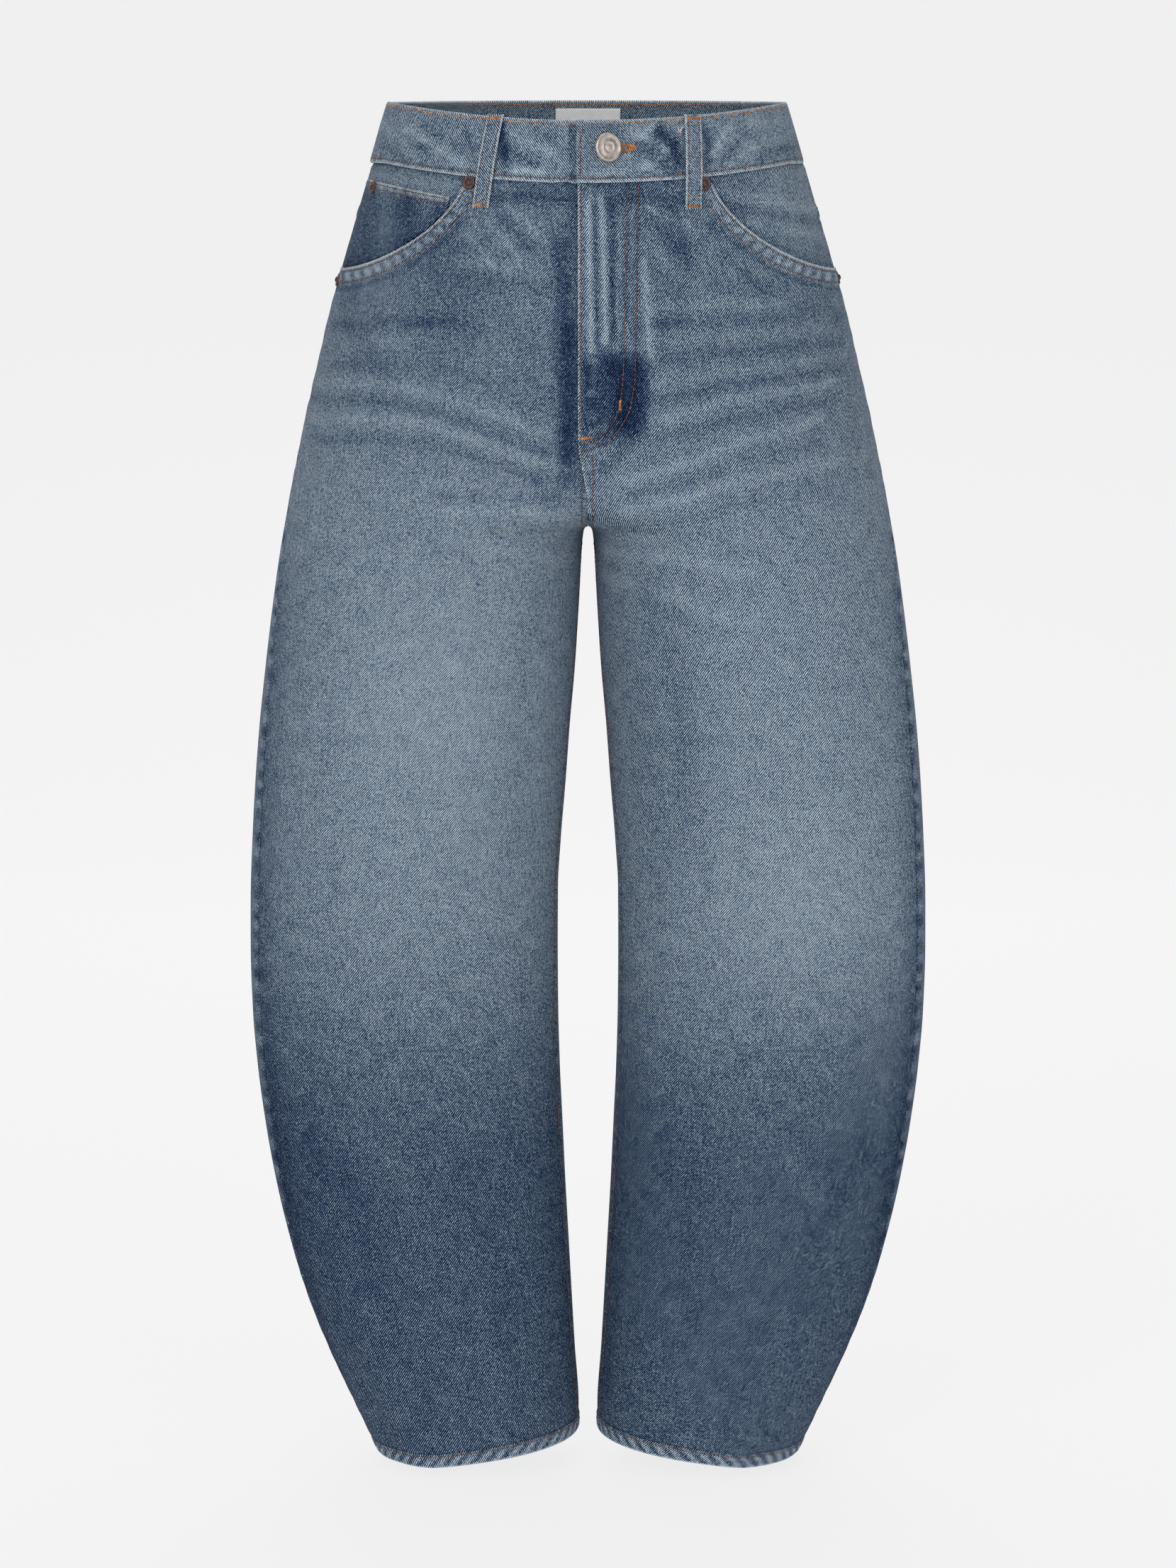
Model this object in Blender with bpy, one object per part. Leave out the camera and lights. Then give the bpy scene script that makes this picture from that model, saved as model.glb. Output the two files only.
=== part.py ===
"""Five-pocket jeans, filled out as when worn, open at the waist and at both hems.

Every piece is a thin wall made from one body surface. That surface has a ring at each level: one ring
round the hips, which the centre plane cuts in two halves, and one ring for each leg below the crotch.
+Z is up, the front faces -Y and +X is the wearer's left. The origin is on the centre line, level with
the waistband's back edge. Sizes in this file are millimetres, and the meshes are metres.
"""
import functools
import math

import bmesh
import bpy
import numpy as np
from mathutils import Matrix, Vector

MM = 0.001

# Cloth
CLOTH = 1.6
SEAM_GAP = 0.3
LYING_GAP = 0.9

# Body surface. Each side has a ring with its own centre, which lies on the centre line at the waist and
# in the leg below the crotch. inner is where the ring would end across the centre plane, or the half
# gap between the legs. front and back are the ring's lowest and highest Y.
SECTIONS = (
    # level, outer, centre, inner, front, back, fullness
    (30, 132.0, 0, -132.0, -88, 92, 2.15),
    (0, 141.0, 0, -141.0, -93, 97, 2.15),
    (-45, 153.8, 0, -153.8, -98, 106, 2.2),
    (-90, 166.5, 0, -166.5, -104, 116, 2.25),
    (-130, 178.3, 1, -177.0, -108, 122, 2.3),
    (-155, 185.0, 7, -176.0, -110, 125, 2.3),
    (-185, 192.0, 22, -166.0, -111, 127, 2.3),
    (-215, 199.2, 42, -148.0, -111, 126, 2.3),
    (-245, 205.6, 64, -121.0, -109, 123, 2.3),
    (-265, 209.8, 79, -94.0, -107, 120, 2.3),
    (-280, 212.8, 89, -61.0, -105, 116, 2.3),
    (-290, 214.7, 95, -31.0, -104, 113, 2.3),
    (-296, 215.8, 98, -12.0, -103, 111, 2.3),
    (-300, 216.6, 100, 0.6, -102, 109, 2.3),
    (-304, 217.3, 102, 3.2, -102, 108, 2.3),
    (-321, 220.2, 108, 4.8, -100, 103, 2.3),
    (-361, 225.9, 115, 7.1, -96, 96, 2.3),
    (-402, 231.0, 120, 9.4, -91, 90, 2.3),
    (-443, 235.5, 124, 13.0, -86, 83, 2.3),
    (-485, 238.9, 127, 16.1, -82, 76, 2.3),
    (-526, 241.3, 130, 19.5, -78, 71, 2.3),
    (-567, 243.0, 132, 21.6, -74, 68, 2.3),
    (-608, 243.4, 133, 21.8, -70, 67, 2.3),
    (-650, 242.4, 132, 21.5, -67, 69, 2.3),
    (-692, 239.3, 130, 20.4, -65, 71, 2.3),
    (-734, 234.2, 126, 18.5, -63, 73, 2.3),
    (-776, 227.1, 122, 16.6, -62, 74, 2.3),
    (-818, 217.6, 116, 14.3, -62, 74, 2.3),
    (-860, 205.0, 109, 12.0, -62, 73, 2.3),
    (-902, 188.4, 99, 9.6, -64, 71, 2.3),
    (-945, 169.6, 88, 6.8, -66, 69, 2.3),
    (-1000, 150.0, 79, 7.5, -67, 67, 2.3),
)

# Side seams, as angles round the leg ring: 0 points outward, -90 to the front and 180 to the other leg.
SEAM_ANGLES = (
    # level, outseam, inseam
    (0, 0, -180),
    (-180, 0, -180),
    (-260, -6, -180),
    (-330, -15, -178),
    (-420, -21, -171),
    (-600, -23, -168),
    (-760, -21, -168),
    (-850, -13, -168),
    (-990, -6, -168),
)

# Largest folds. side is -1 for the wearer's right leg, 1 for the left and 0 for both.
FOLDS = (
    # side, angle, level, half_width_deg, half_height, rise, slant_deg_per_mm
    (0, 100, -322, 48, 13, -4.0, 0.15),
    (0, 96, -346, 40, 10, 2.0, 0.2),
    (0, 104, -552, 46, 12, -3.2, 0.25),
    (0, 84, -588, 42, 10, -2.6, -0.3),
    (0, 92, -620, 38, 11, 1.8, 0.2),
    (-1, -58, -925, 9, 46, 2.4, 0.0),
    (-1, -40, -930, 8, 44, -1.8, 0.0),
    (1, -70, -905, 10, 40, 1.4, 0.1),
    (0, 120, -900, 12, 50, -2.0, 0.1),
    (0, 60, -870, 14, 40, 1.6, -0.1),
)

# Rows that the front and back panels share, so that their seams follow the same line
PANEL_LEVELS = (
    -140, -165, -192, -218, -240, -257, -270, -281, -289, -294.5, -298.4, -301, -305, -314, -328, -346,
    -368, -405, -445, -490, -530, -552, -572, -592, -625, -670, -715, -760, -805, -850, -892, -930,
)

# Columns near the outseam keep their spacing where the ring's length changes fast at the crotch
EVEN_FROM = -120
EVEN_FULL = -200
EVEN_WINDOW = 40
EVEN_SHARE = 0.4

# Waistband
BAND_HEIGHT = 43
BAND_SIDE_DIP = 1
BAND_FRONT_DIP = 12.5
BAND_THICK = 2.4
BAND_OUT = 0.7
BAND_STEP = 1.6
OVERLAP_X = 8
UNDERLAP_X = 38

# Fly: the wearer's left front reaches past the centre line and narrows to the crotch
FLY_EDGE_X = 7.2
FLY_STRAIGHT_END = -232
FLY_POINT_LEVEL = -284

# Front pocket opening: a quarter of a rounded curve about this corner at the outseam
POCKET_X = 178
POCKET_LEVEL = -52
POCKET_WIDTH = 93.5
POCKET_DEPTH = 66
POCKET_ROUND = 1.55
FACING_UNDER = 10
FACING_SUNK = -2.2
FACING_THICK = 1.2
FACING_INNER_X = 80

# Coin pocket, on the wearer's right facing
COIN_TOP_INNER = (96.0, -66.2)
COIN_TOP_SLOPE = 0.19
COIN_LAST_SHARE = 0.985
COIN_THICK = 1.1
COIN_OUT = FACING_SUNK + 0.6 + COIN_THICK
COIN_FOOT_GAP = 1.8

# Back yoke and pockets
YOKE_SIDE_LEVEL = -82
YOKE_CENTRE_LEVEL = -116
BACK_POCKET_X = 84
BACK_POCKET_TOP = -134
BACK_POCKET_TILT = 0.10
BACK_POCKET_HALF_TOP = 74
BACK_POCKET_HALF_FOOT = 64
BACK_POCKET_SIDE = 128
BACK_POCKET_POINT = 26
BACK_POCKET_THICK = 1.5

# Hems
HEM_HEIGHT = 10
HEM_THICK = 2.8
HEM_OUT = 0.6
HEM_INNER_LEVEL = -960.5
HEM_SLOPE = 0.139
HEM_FRONT_SLOPE = 0.02

# Belt loops
LOOP_WIDTH = 11.4
LOOP_THICK = 1.6
LOOP_ARCH = 2.4

# Metal
BUTTON_RADIUS = 10
BUTTON_AT = (11.4, -33)
BUTTON_TURN = 26
BUTTON_FOOT = 1.9
RIVET_RADIUS = 4.75

# Label
LABEL_HALF = 23.7
LABEL_TOP = -5.4
LABEL_HEIGHT = 30

RIGHT = -1
LEFT = 1


class Curve:
    """A smooth curve through table columns that never overshoots between two rows."""

    def __init__(self, rows, column):
        ordered = sorted((row[0], row[column]) for row in rows)
        self.x = np.array([row[0] for row in ordered], dtype=float)
        self.y = np.array([row[1] for row in ordered], dtype=float)
        step = np.diff(self.x)
        slope = np.diff(self.y) / step
        self.m = np.zeros(len(self.x))
        self.m[0] = slope[0]
        self.m[-1] = slope[-1]
        for i in range(1, len(self.x) - 1):
            if slope[i - 1] * slope[i] > 0:
                a = 2 * step[i] + step[i - 1]
                b = step[i] + 2 * step[i - 1]
                self.m[i] = (a + b) / (a / slope[i - 1] + b / slope[i])

    def __call__(self, x):
        x = min(max(x, self.x[0]), self.x[-1])
        i = min(max(int(np.searchsorted(self.x, x)) - 1, 0), len(self.x) - 2)
        h = self.x[i + 1] - self.x[i]
        t = (x - self.x[i]) / h
        rise = self.y[i + 1] - self.y[i]
        a = self.m[i] * h
        b = self.m[i + 1] * h
        return self.y[i] + t * (a + t * (3 * rise - 2 * a - b + t * (a + b - 2 * rise)))


outer_at = Curve(SECTIONS, 1)
centre_at = Curve(SECTIONS, 2)
inner_at = Curve(SECTIONS, 3)
front_at = Curve(SECTIONS, 4)
back_at = Curve(SECTIONS, 5)
fullness_at = Curve(SECTIONS, 6)
outseam_at = Curve(SEAM_ANGLES, 1)
inseam_at = Curve(SEAM_ANGLES, 2)


def smooth(value, start, end):
    """0 before start, 1 after end and an S curve between them."""
    t = min(max((value - start) / (end - start), 0.0), 1.0)
    return t * t * (3 - 2 * t)


def ring(level):
    """Centre, half widths (outward and inward), half depth and fullness of one side's ring."""
    front = front_at(level)
    back = back_at(level)
    centre = (centre_at(level), (front + back) / 2)
    widths = (outer_at(level) - centre[0], centre[0] - inner_at(level))
    return centre, widths, (back - front) / 2, fullness_at(level)


def fold_rise(side, angle, level):
    rise = np.zeros_like(angle)
    for fold_side, fold_angle, fold_level, width, height, top, slant in FOLDS:
        if fold_side not in (0, side):
            continue
        turned_by = (angle - fold_angle - slant * (level - fold_level) + 180) % 360 - 180
        across = turned_by / width
        along = (level - fold_level) / height
        rise = rise + top * np.exp(-across ** 2 - along ** 2)
    return rise


def ring_points(side, angle, level):
    """Points of the wearer's left half at these angles, with the folds of the given side."""
    centre, widths, depth, fullness = ring(level)
    turn = np.radians(angle)
    cosine = np.cos(turn)
    sine = np.sin(turn)
    power = 2 / fullness
    rise = fold_rise(side, angle, level)
    width = np.where(cosine >= 0, widths[0], widths[1])
    x = centre[0] + width * np.sign(cosine) * np.abs(cosine) ** power + rise * cosine
    y = centre[1] + depth * np.sign(sine) * np.abs(sine) ** power + rise * sine
    return np.stack([x, y, np.full_like(x, level)], axis=-1)


def ring_normal(side, angle, level):
    """Outward normal of the surface at one angle and level."""
    a = np.array([angle - 0.4, angle + 0.4])
    here = ring_points(side, a, level)
    centre = np.array([float(angle)])
    above = ring_points(side, centre, level + 0.8)[0]
    below = ring_points(side, centre, level - 0.8)[0]
    normal = np.cross(here[1] - here[0], above - below)
    return normal / np.linalg.norm(normal)


def crossing_angle(cut, level, back):
    """Angle where the ring crosses x = cut on its way to the other leg, or None when it stays clear."""
    centre, widths, _, fullness = ring(level)
    share = (cut - centre[0]) / (widths[0] if cut > centre[0] else widths[1])
    if share <= -1:
        return None
    cosine = math.copysign(abs(share) ** (fullness / 2), share)
    angle = math.degrees(math.acos(cosine))
    return angle if back else -angle


class Path:
    """The front or back half of one side's ring at one level, from its inner edge to the outseam.

    cut is the x of the inner edge above the crotch. A cut below zero laps over the centre line.
    """

    STEPS = 180

    def __init__(self, side, level, back, cut):
        self.side = side
        self.level = level
        outseam = outseam_at(level)
        inseam = inseam_at(level)
        inner = crossing_angle(max(cut, 0.0), level, back)
        trim_inner = 0.0
        if inner is None:
            inner = 360 + inseam if back else inseam
            trim_inner = SEAM_GAP / 2
        angles = list(np.linspace(inner, outseam, self.STEPS))
        flips = [1] * len(angles)
        if cut < 0 and crossing_angle(0.0, level, back) is not None:
            reach = crossing_angle(-cut, level, back)
            lap = list(np.linspace(reach, inner, 24))
            angles = lap + angles
            flips = [-1] * len(lap) + flips
        self.angles = np.array(angles)
        self.flips = np.array(flips)
        points = ring_points(side, self.angles, level)
        points[:, 0] *= self.flips
        steps = np.linalg.norm(np.diff(points, axis=0), axis=1)
        self.run = np.concatenate([[0.0], np.cumsum(steps)])
        self.start = trim_inner
        self.end = self.run[-1] - SEAM_GAP / 2
        self.back = back

    def at(self, share):
        """Point and normal at this share of the way from the inner edge to the outseam."""
        span = self.end - self.start
        evened = smooth(-self.level, -EVEN_FROM, -EVEN_FULL) * smooth(share, 0, EVEN_SHARE)
        if evened > 0:
            span += (even_span(self.level, self.back) - span) * evened
        length = self.end - (1 - share) * span
        i = min(max(int(np.searchsorted(self.run, length)) - 1, 0), len(self.run) - 2)
        part = (length - self.run[i]) / max(self.run[i + 1] - self.run[i], 1e-9)
        angle = self.angles[i] + part * (self.angles[i + 1] - self.angles[i])
        flip = self.flips[i]
        point = ring_points(self.side, np.array([angle]), self.level)[0]
        normal = ring_normal(self.side, angle, self.level)
        mirror = np.array([flip * self.side, 1, 1])
        return point * mirror, normal * mirror


@functools.cache
def plain_span(level, back):
    """Length of the path at one level, on the side with no lap."""
    path = Path(LEFT, level, back, SEAM_GAP / 2)
    return path.end - path.start


@functools.cache
def even_span(level, back):
    """Mean length of the path over a window of levels, so that it changes slowly."""
    nearby = np.linspace(level - EVEN_WINDOW, level + EVEN_WINDOW, 17)
    return sum(plain_span(float(near), back) for near in nearby) / len(nearby)


def place(side, back, cut_at, share, rule, start):
    """Point and normal at a share of the path, on the level that the rule gives for that point."""
    level = start
    for _ in range(5):
        point, normal = Path(side, level, back, cut_at(level)).at(share)
        target = rule(point)
        if abs(target - level) < 0.02:
            break
        level = target
    return point, normal


def share_of_x(path, x):
    """Share along a path where it is this far from the centre plane."""
    low, high = 0.0, 1.0
    for _ in range(30):
        middle = (low + high) / 2
        point, _ = path.at(middle)
        if abs(point[0]) < abs(x):
            low = middle
        else:
            high = middle
    return (low + high) / 2


def surface_point(side, back, x, level):
    """Point and normal on the surface at a place given by x and level."""
    path = Path(side, level, back, 0.0)
    point, normal = path.at(share_of_x(path, x))
    flip = np.array([-1 if x * side < 0 else 1, 1, 1])
    return point * flip, normal * flip


def band_top(point):
    """Top edge of the waistband: level at the back and dipping to the front."""
    near = max(1 - (point[0] / outer_at(0)) ** 2, 0)
    if point[1] < 0:
        return -BAND_SIDE_DIP - BAND_FRONT_DIP * near
    return -BAND_SIDE_DIP * (1 - near)


def band_foot(point):
    return band_top(point) - BAND_HEIGHT


def pocket_level(point, width=POCKET_WIDTH, depth=POCKET_DEPTH):
    """Level of the front pocket's opening edge, or None where the edge has ended at the waist seam."""
    share = (POCKET_X - abs(point[0])) / width
    if share >= 1:
        return None
    share = max(share, 0)
    return POCKET_LEVEL - depth * (1 - share ** POCKET_ROUND) ** (1 / POCKET_ROUND)


def front_top(point):
    """Top edge of a front panel: the waist seam, then the pocket opening."""
    waist = band_foot(point) - SEAM_GAP
    pocket = pocket_level(point)
    return waist if pocket is None else min(waist, pocket)


def facing_foot(point):
    width = POCKET_WIDTH + FACING_UNDER
    depth = POCKET_DEPTH + FACING_UNDER
    level = pocket_level(point, width, depth)
    return band_foot(point) - FACING_UNDER if level is None else level


def yoke_foot(point):
    share = min(abs(point[0]) / 168, 1)
    return YOKE_CENTRE_LEVEL + (YOKE_SIDE_LEVEL - YOKE_CENTRE_LEVEL) * share


def hem_foot(point):
    return HEM_INNER_LEVEL - HEM_SLOPE * (abs(point[0]) - 9) + HEM_FRONT_SLOPE * point[1]


def fly_cut(side):
    """Inner edge of a front panel: the wearer's left one laps over, the right one stops short of it."""
    def cut_at(level):
        lap = FLY_EDGE_X * (1 - smooth(-level, -FLY_STRAIGHT_END, -FLY_POINT_LEVEL))
        return SEAM_GAP / 2 - side * lap
    return cut_at


def centre_cut(level):
    return SEAM_GAP / 2


def material(name, colour, roughness, metallic=0.0):
    made = bpy.data.materials.new(name)
    made.use_nodes = True
    shader = made.node_tree.nodes["Principled BSDF"]
    shader.inputs["Base Color"].default_value = (*colour, 1.0)
    shader.inputs["Roughness"].default_value = roughness
    shader.inputs["Metallic"].default_value = metallic
    made.diffuse_color = (*colour, 1.0)
    return made


def finish(name, mesh_data, paint):
    bmesh.ops.recalc_face_normals(mesh_data, faces=mesh_data.faces)
    mesh = bpy.data.meshes.new(name)
    mesh_data.to_mesh(mesh)
    mesh_data.free()
    mesh.materials.append(paint)
    mesh.shade_smooth()
    mesh.set_sharp_from_angle(angle=math.radians(40))
    piece = bpy.data.objects.new(name, mesh)
    bpy.context.scene.collection.objects.link(piece)
    return piece


def wall(name, grid, out, thick, paint, closed=False):
    """A closed cloth wall from a grid of (point, normal): out is its outer face's height above the grid.

    out is one number or a function of row and column. closed joins the last column to the first.
    """
    rows = len(grid)
    columns = len(grid[0])
    mesh_data = bmesh.new()
    layers = []
    for depth in (0, thick):
        layer = []
        for r in range(rows):
            line = []
            for c in range(columns):
                point, normal = grid[r][c]
                height = out(r, c) if callable(out) else out
                line.append(mesh_data.verts.new((point + normal * (height - depth)) * MM))
            layer.append(line)
        layers.append(layer)
    outer, inner = layers
    spans = columns if closed else columns - 1
    for r in range(rows - 1):
        for c in range(spans):
            d = (c + 1) % columns
            mesh_data.faces.new((outer[r][c], outer[r][d], outer[r + 1][d], outer[r + 1][c]))
            mesh_data.faces.new((inner[r][d], inner[r][c], inner[r + 1][c], inner[r + 1][d]))
    for r, flip in ((0, False), (rows - 1, True)):
        for c in range(spans):
            d = (c + 1) % columns
            edge = [outer[r][c], inner[r][c], inner[r][d], outer[r][d]]
            mesh_data.faces.new(edge[::-1] if flip else edge)
    if not closed:
        for c, flip in ((0, True), (columns - 1, False)):
            for r in range(rows - 1):
                edge = [outer[r][c], inner[r][c], inner[r + 1][c], outer[r + 1][c]]
                mesh_data.faces.new(edge[::-1] if flip else edge)
    return finish(name, mesh_data, paint)


def shares(*stretches):
    """Column places from stretches of (end, count), starting at 0."""
    places = [0.0]
    for end, count in stretches:
        start = places[-1]
        for i in range(1, count + 1):
            places.append(start + (end - start) * i / count)
    return places


def column(side, back, cut_at, share, top_at, foot_at, top_rows):
    """One panel column: some rows down from its own top edge, the fixed levels, then its own foot."""
    top, _ = place(side, back, cut_at, share, top_at, -60)
    first = PANEL_LEVELS[0]
    levels = [top[2] + (first - top[2]) * i / top_rows for i in range(top_rows)]
    levels += list(PANEL_LEVELS)
    line = []
    for level in levels:
        line.append(Path(side, level, back, cut_at(level)).at(share))
    line.append(place(side, back, cut_at, share, foot_at, -960))
    return line


def rows_of(columns):
    """Columns turned into rows."""
    return [list(row) for row in zip(*columns)]


def hem_seam(point):
    return hem_foot(point) + HEM_HEIGHT + SEAM_GAP


def make_front(name, side, paint):
    """Front panel from the waist seam and pocket opening to the hem."""
    columns = []
    for share in shares((0.42, 5), (1.0, 9)):
        columns.append(column(side, False, fly_cut(side), share, front_top, hem_seam, 5))
    return wall(name, rows_of(columns), 0, CLOTH, paint)


def make_back(name, side, paint):
    """Back panel from the yoke seam to the hem."""
    columns = []

    def top_at(point):
        return yoke_foot(point) - SEAM_GAP

    for share in shares((1.0, 15)):
        columns.append(column(side, True, centre_cut, share, top_at, hem_seam, 3))
    return wall(name, rows_of(columns), 0, CLOTH, paint)


def make_yoke(name, side, paint):
    """Back yoke between the waistband and the back panel."""
    def top_at(point):
        return band_foot(point) - SEAM_GAP

    columns = []
    for share in shares((1.0, 11)):
        top, _ = place(side, True, centre_cut, share, top_at, -45)
        foot, _ = place(side, True, centre_cut, share, yoke_foot, -90)
        line = []
        for i in range(3):
            level = top[2] + (foot[2] - top[2]) * i / 2
            line.append(Path(side, level, True, centre_cut(level)).at(share))
        columns.append(line)
    return wall(name, rows_of(columns), 0, CLOTH, paint)


def front_patch(side, first, last, columns, rows, top_rule, foot_rule):
    """Grid on the front surface between two shares of the path and two curved edges."""
    lines = []
    for i in range(columns + 1):
        share = first + (last - first) * i / columns
        top, _ = place(side, False, centre_cut, share, top_rule, -55)
        foot, _ = place(side, False, centre_cut, share, foot_rule, -85)
        line = []
        for row in range(rows + 1):
            level = top[2] + (foot[2] - top[2]) * row / rows
            line.append(Path(side, level, False, centre_cut(level)).at(share))
        lines.append(line)
    return rows_of(lines)


def make_facing(name, side, paint):
    """Pocket facing: it fills the opening and runs on under the front panel's edge."""
    def top_rule(point):
        return band_foot(point) - SEAM_GAP

    first = share_of_x(Path(side, POCKET_LEVEL, False, SEAM_GAP / 2), FACING_INNER_X)
    grid = front_patch(side, first, 1.0, 8, 4, top_rule, facing_foot)
    return wall(name, grid, FACING_SUNK, FACING_THICK, paint)


def make_coin_pocket(paint):
    """Small pocket on the wearer's right facing: a slanting top edge, and its foot at the opening."""
    def top_rule(point):
        return COIN_TOP_INNER[1] + COIN_TOP_SLOPE * (abs(point[0]) - COIN_TOP_INNER[0])

    def foot_rule(point):
        level = pocket_level(point)
        return top_rule(point) - 2 if level is None else level + COIN_FOOT_GAP

    first = share_of_x(Path(RIGHT, COIN_TOP_INNER[1], False, SEAM_GAP / 2), COIN_TOP_INNER[0])
    grid = front_patch(RIGHT, first, COIN_LAST_SHARE, 7, 4, top_rule, foot_rule)
    return wall("coin_pocket", grid, COIN_OUT, COIN_THICK, paint)


def make_back_pocket(name, side, paint):
    """Patch pocket with a pointed foot, on the back panel."""
    columns = []
    for i in range(13):
        across = i / 6 - 1
        line = []
        for row in range(9):
            down = row / 8
            foot = BACK_POCKET_SIDE + BACK_POCKET_POINT * (1 - abs(across))
            half = BACK_POCKET_HALF_TOP + (BACK_POCKET_HALF_FOOT - BACK_POCKET_HALF_TOP) * down
            x = BACK_POCKET_X + across * half
            level = BACK_POCKET_TOP + BACK_POCKET_TILT * (x - BACK_POCKET_X) - down * foot
            line.append(surface_point(side, True, side * x, level))
        columns.append(line)
    return wall(name, rows_of(columns), LYING_GAP + BACK_POCKET_THICK, BACK_POCKET_THICK, paint)


def make_hem(name, side, paint):
    """Turned-up hem: one closed ring round the leg's foot."""
    def top_at(point):
        return hem_foot(point) + HEM_HEIGHT

    columns = []
    for back, order in ((False, range(0, 13)), (True, range(13, 0, -1))):
        for i in order:
            share = i / 13
            line = []
            for rule in (top_at, hem_foot):
                line.append(place(side, back, centre_cut, share, rule, -965))
            columns.append(line)
    return wall(name, rows_of(columns), HEM_OUT, HEM_THICK, paint, closed=True)


def make_waistband(paint):
    """One strip from the underlap, round the back, to the overlap at the front."""
    def lap_cut(side):
        return lambda level: -OVERLAP_X if side == LEFT else -UNDERLAP_X

    sequence = []
    for i in range(15):
        sequence.append((RIGHT, False, i / 14))
    for i in range(12):
        sequence.append((RIGHT, True, 1 - (i + 1) / 12 if i < 11 else 0.0))
    for i in range(12):
        sequence.append((LEFT, True, (i + 1) / 13))
    for i in range(14):
        sequence.append((LEFT, False, 1 - i / 13))

    rows = [[], [], []]
    for side, back, share in sequence:
        cut_at = centre_cut if back else lap_cut(side)
        for row in range(3):
            def level_at(point, drop=BAND_HEIGHT * row / 2):
                return band_top(point) - drop
            rows[row].append(place(side, back, cut_at, share, level_at, -20))

    def height(row, index):
        side, back, _ = sequence[index]
        point, _ = rows[row][index]
        if back:
            return BAND_OUT
        if side == LEFT:
            return BAND_OUT + BAND_STEP * (1 - smooth(point[0], 34, 72))
        return BAND_OUT - BAND_STEP * smooth(point[0], -34, -9)

    return wall("waistband", rows, height, BAND_THICK, paint)


def make_loop(name, top, foot, back, paint):
    """Belt loop: a strip that stands off the waistband and is tacked down at both ends."""
    rows = 9
    grid = []
    base = []
    for i in range(rows):
        share = i / (rows - 1)
        level = top[1] + (foot[1] - top[1]) * share
        middle = top[0] + (foot[0] - top[0]) * share
        line = []
        for edge in (-0.5, 0.0, 0.5):
            x = middle + edge * LOOP_WIDTH
            side = LEFT if x >= 0 else RIGHT
            line.append(surface_point(side, back, x, level))
        grid.append(line)
        band = BAND_OUT + (BAND_STEP if not back and top[0] > 0 else 0) * (1 - smooth(middle, 34, 72))
        on_band = smooth(foot[1] - level, -16, -26)
        arch = LOOP_ARCH * math.sin(math.pi * share)
        base.append(0.5 + band * on_band + arch + LOOP_THICK)

    def height(row, _):
        return base[row]

    return wall(name, grid, height, LOOP_THICK, paint)


def turned(name, profile, sides, place_at, paint):
    """A round solid from (radius, height) pairs, moved to its place."""
    mesh_data = bmesh.new()
    verts = [mesh_data.verts.new((radius * MM, 0, height * MM)) for radius, height in profile]
    edges = [mesh_data.edges.new((verts[i], verts[i + 1])) for i in range(len(verts) - 1)]
    bmesh.ops.spin(
        mesh_data,
        geom=verts + edges,
        cent=(0, 0, 0),
        axis=(0, 0, 1),
        angle=2 * math.pi,
        steps=sides,
        use_merge=True,
    )
    bmesh.ops.remove_doubles(mesh_data, verts=mesh_data.verts, dist=0.00001)
    bmesh.ops.transform(mesh_data, matrix=place_at, verts=mesh_data.verts)
    return finish(name, mesh_data, paint)


def facing_out(point, normal, height, turn=0):
    """Matrix that stands a turned piece on the surface, turned about the vertical by some degrees."""
    spot = Vector((point + normal * height) * MM)
    axis = Vector(normal).normalized()
    axis.rotate(Matrix.Rotation(math.radians(turn), 3, "Z"))
    return Matrix.Translation(spot) @ axis.to_track_quat("Z", "Y").to_matrix().to_4x4()


def make_button(paint):
    """Waistband button with a shank, turned a little by the pull of the buttonhole."""
    point, normal = surface_point(LEFT, False, *BUTTON_AT)
    profile = (
        (0, 0), (3.2, 0), (3.2, 4.2), (8.6, 4.2), (BUTTON_RADIUS, 4.9), (BUTTON_RADIUS, 5.9),
        (9.2, 6.7), (7.6, 6.9), (6.8, 6.3), (5.2, 6.2), (4.4, 6.7), (0, 6.8),
    )
    spot = facing_out(point, normal, BAND_OUT + BAND_STEP + BUTTON_FOOT, BUTTON_TURN)
    return turned("button", profile, 28, spot, paint)


def make_rivet(name, point, normal, height, paint):
    """Domed rivet with a nipple in its middle."""
    profile = (
        (0, 0), (RIVET_RADIUS, 0), (RIVET_RADIUS, 0.5), (3.9, 1.1), (2.5, 0.9), (2.1, 1.3),
        (1.7, 2.0), (0.9, 2.4), (0, 2.5),
    )
    return turned(name, profile, 16, facing_out(point, normal, height), paint)


def make_label(paint):
    """Bare woven label inside the back of the waistband."""
    grid = []
    for i in range(4):
        level = LABEL_TOP - LABEL_HEIGHT * i / 3
        line = []
        for j in range(7):
            x = LABEL_HALF * (j / 3 - 1)
            side = LEFT if x >= 0 else RIGHT
            line.append(surface_point(side, True, x, level))
        grid.append(line)
    return wall("label", grid, BAND_OUT - BAND_THICK - 0.7, 1.0, paint)


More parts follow.
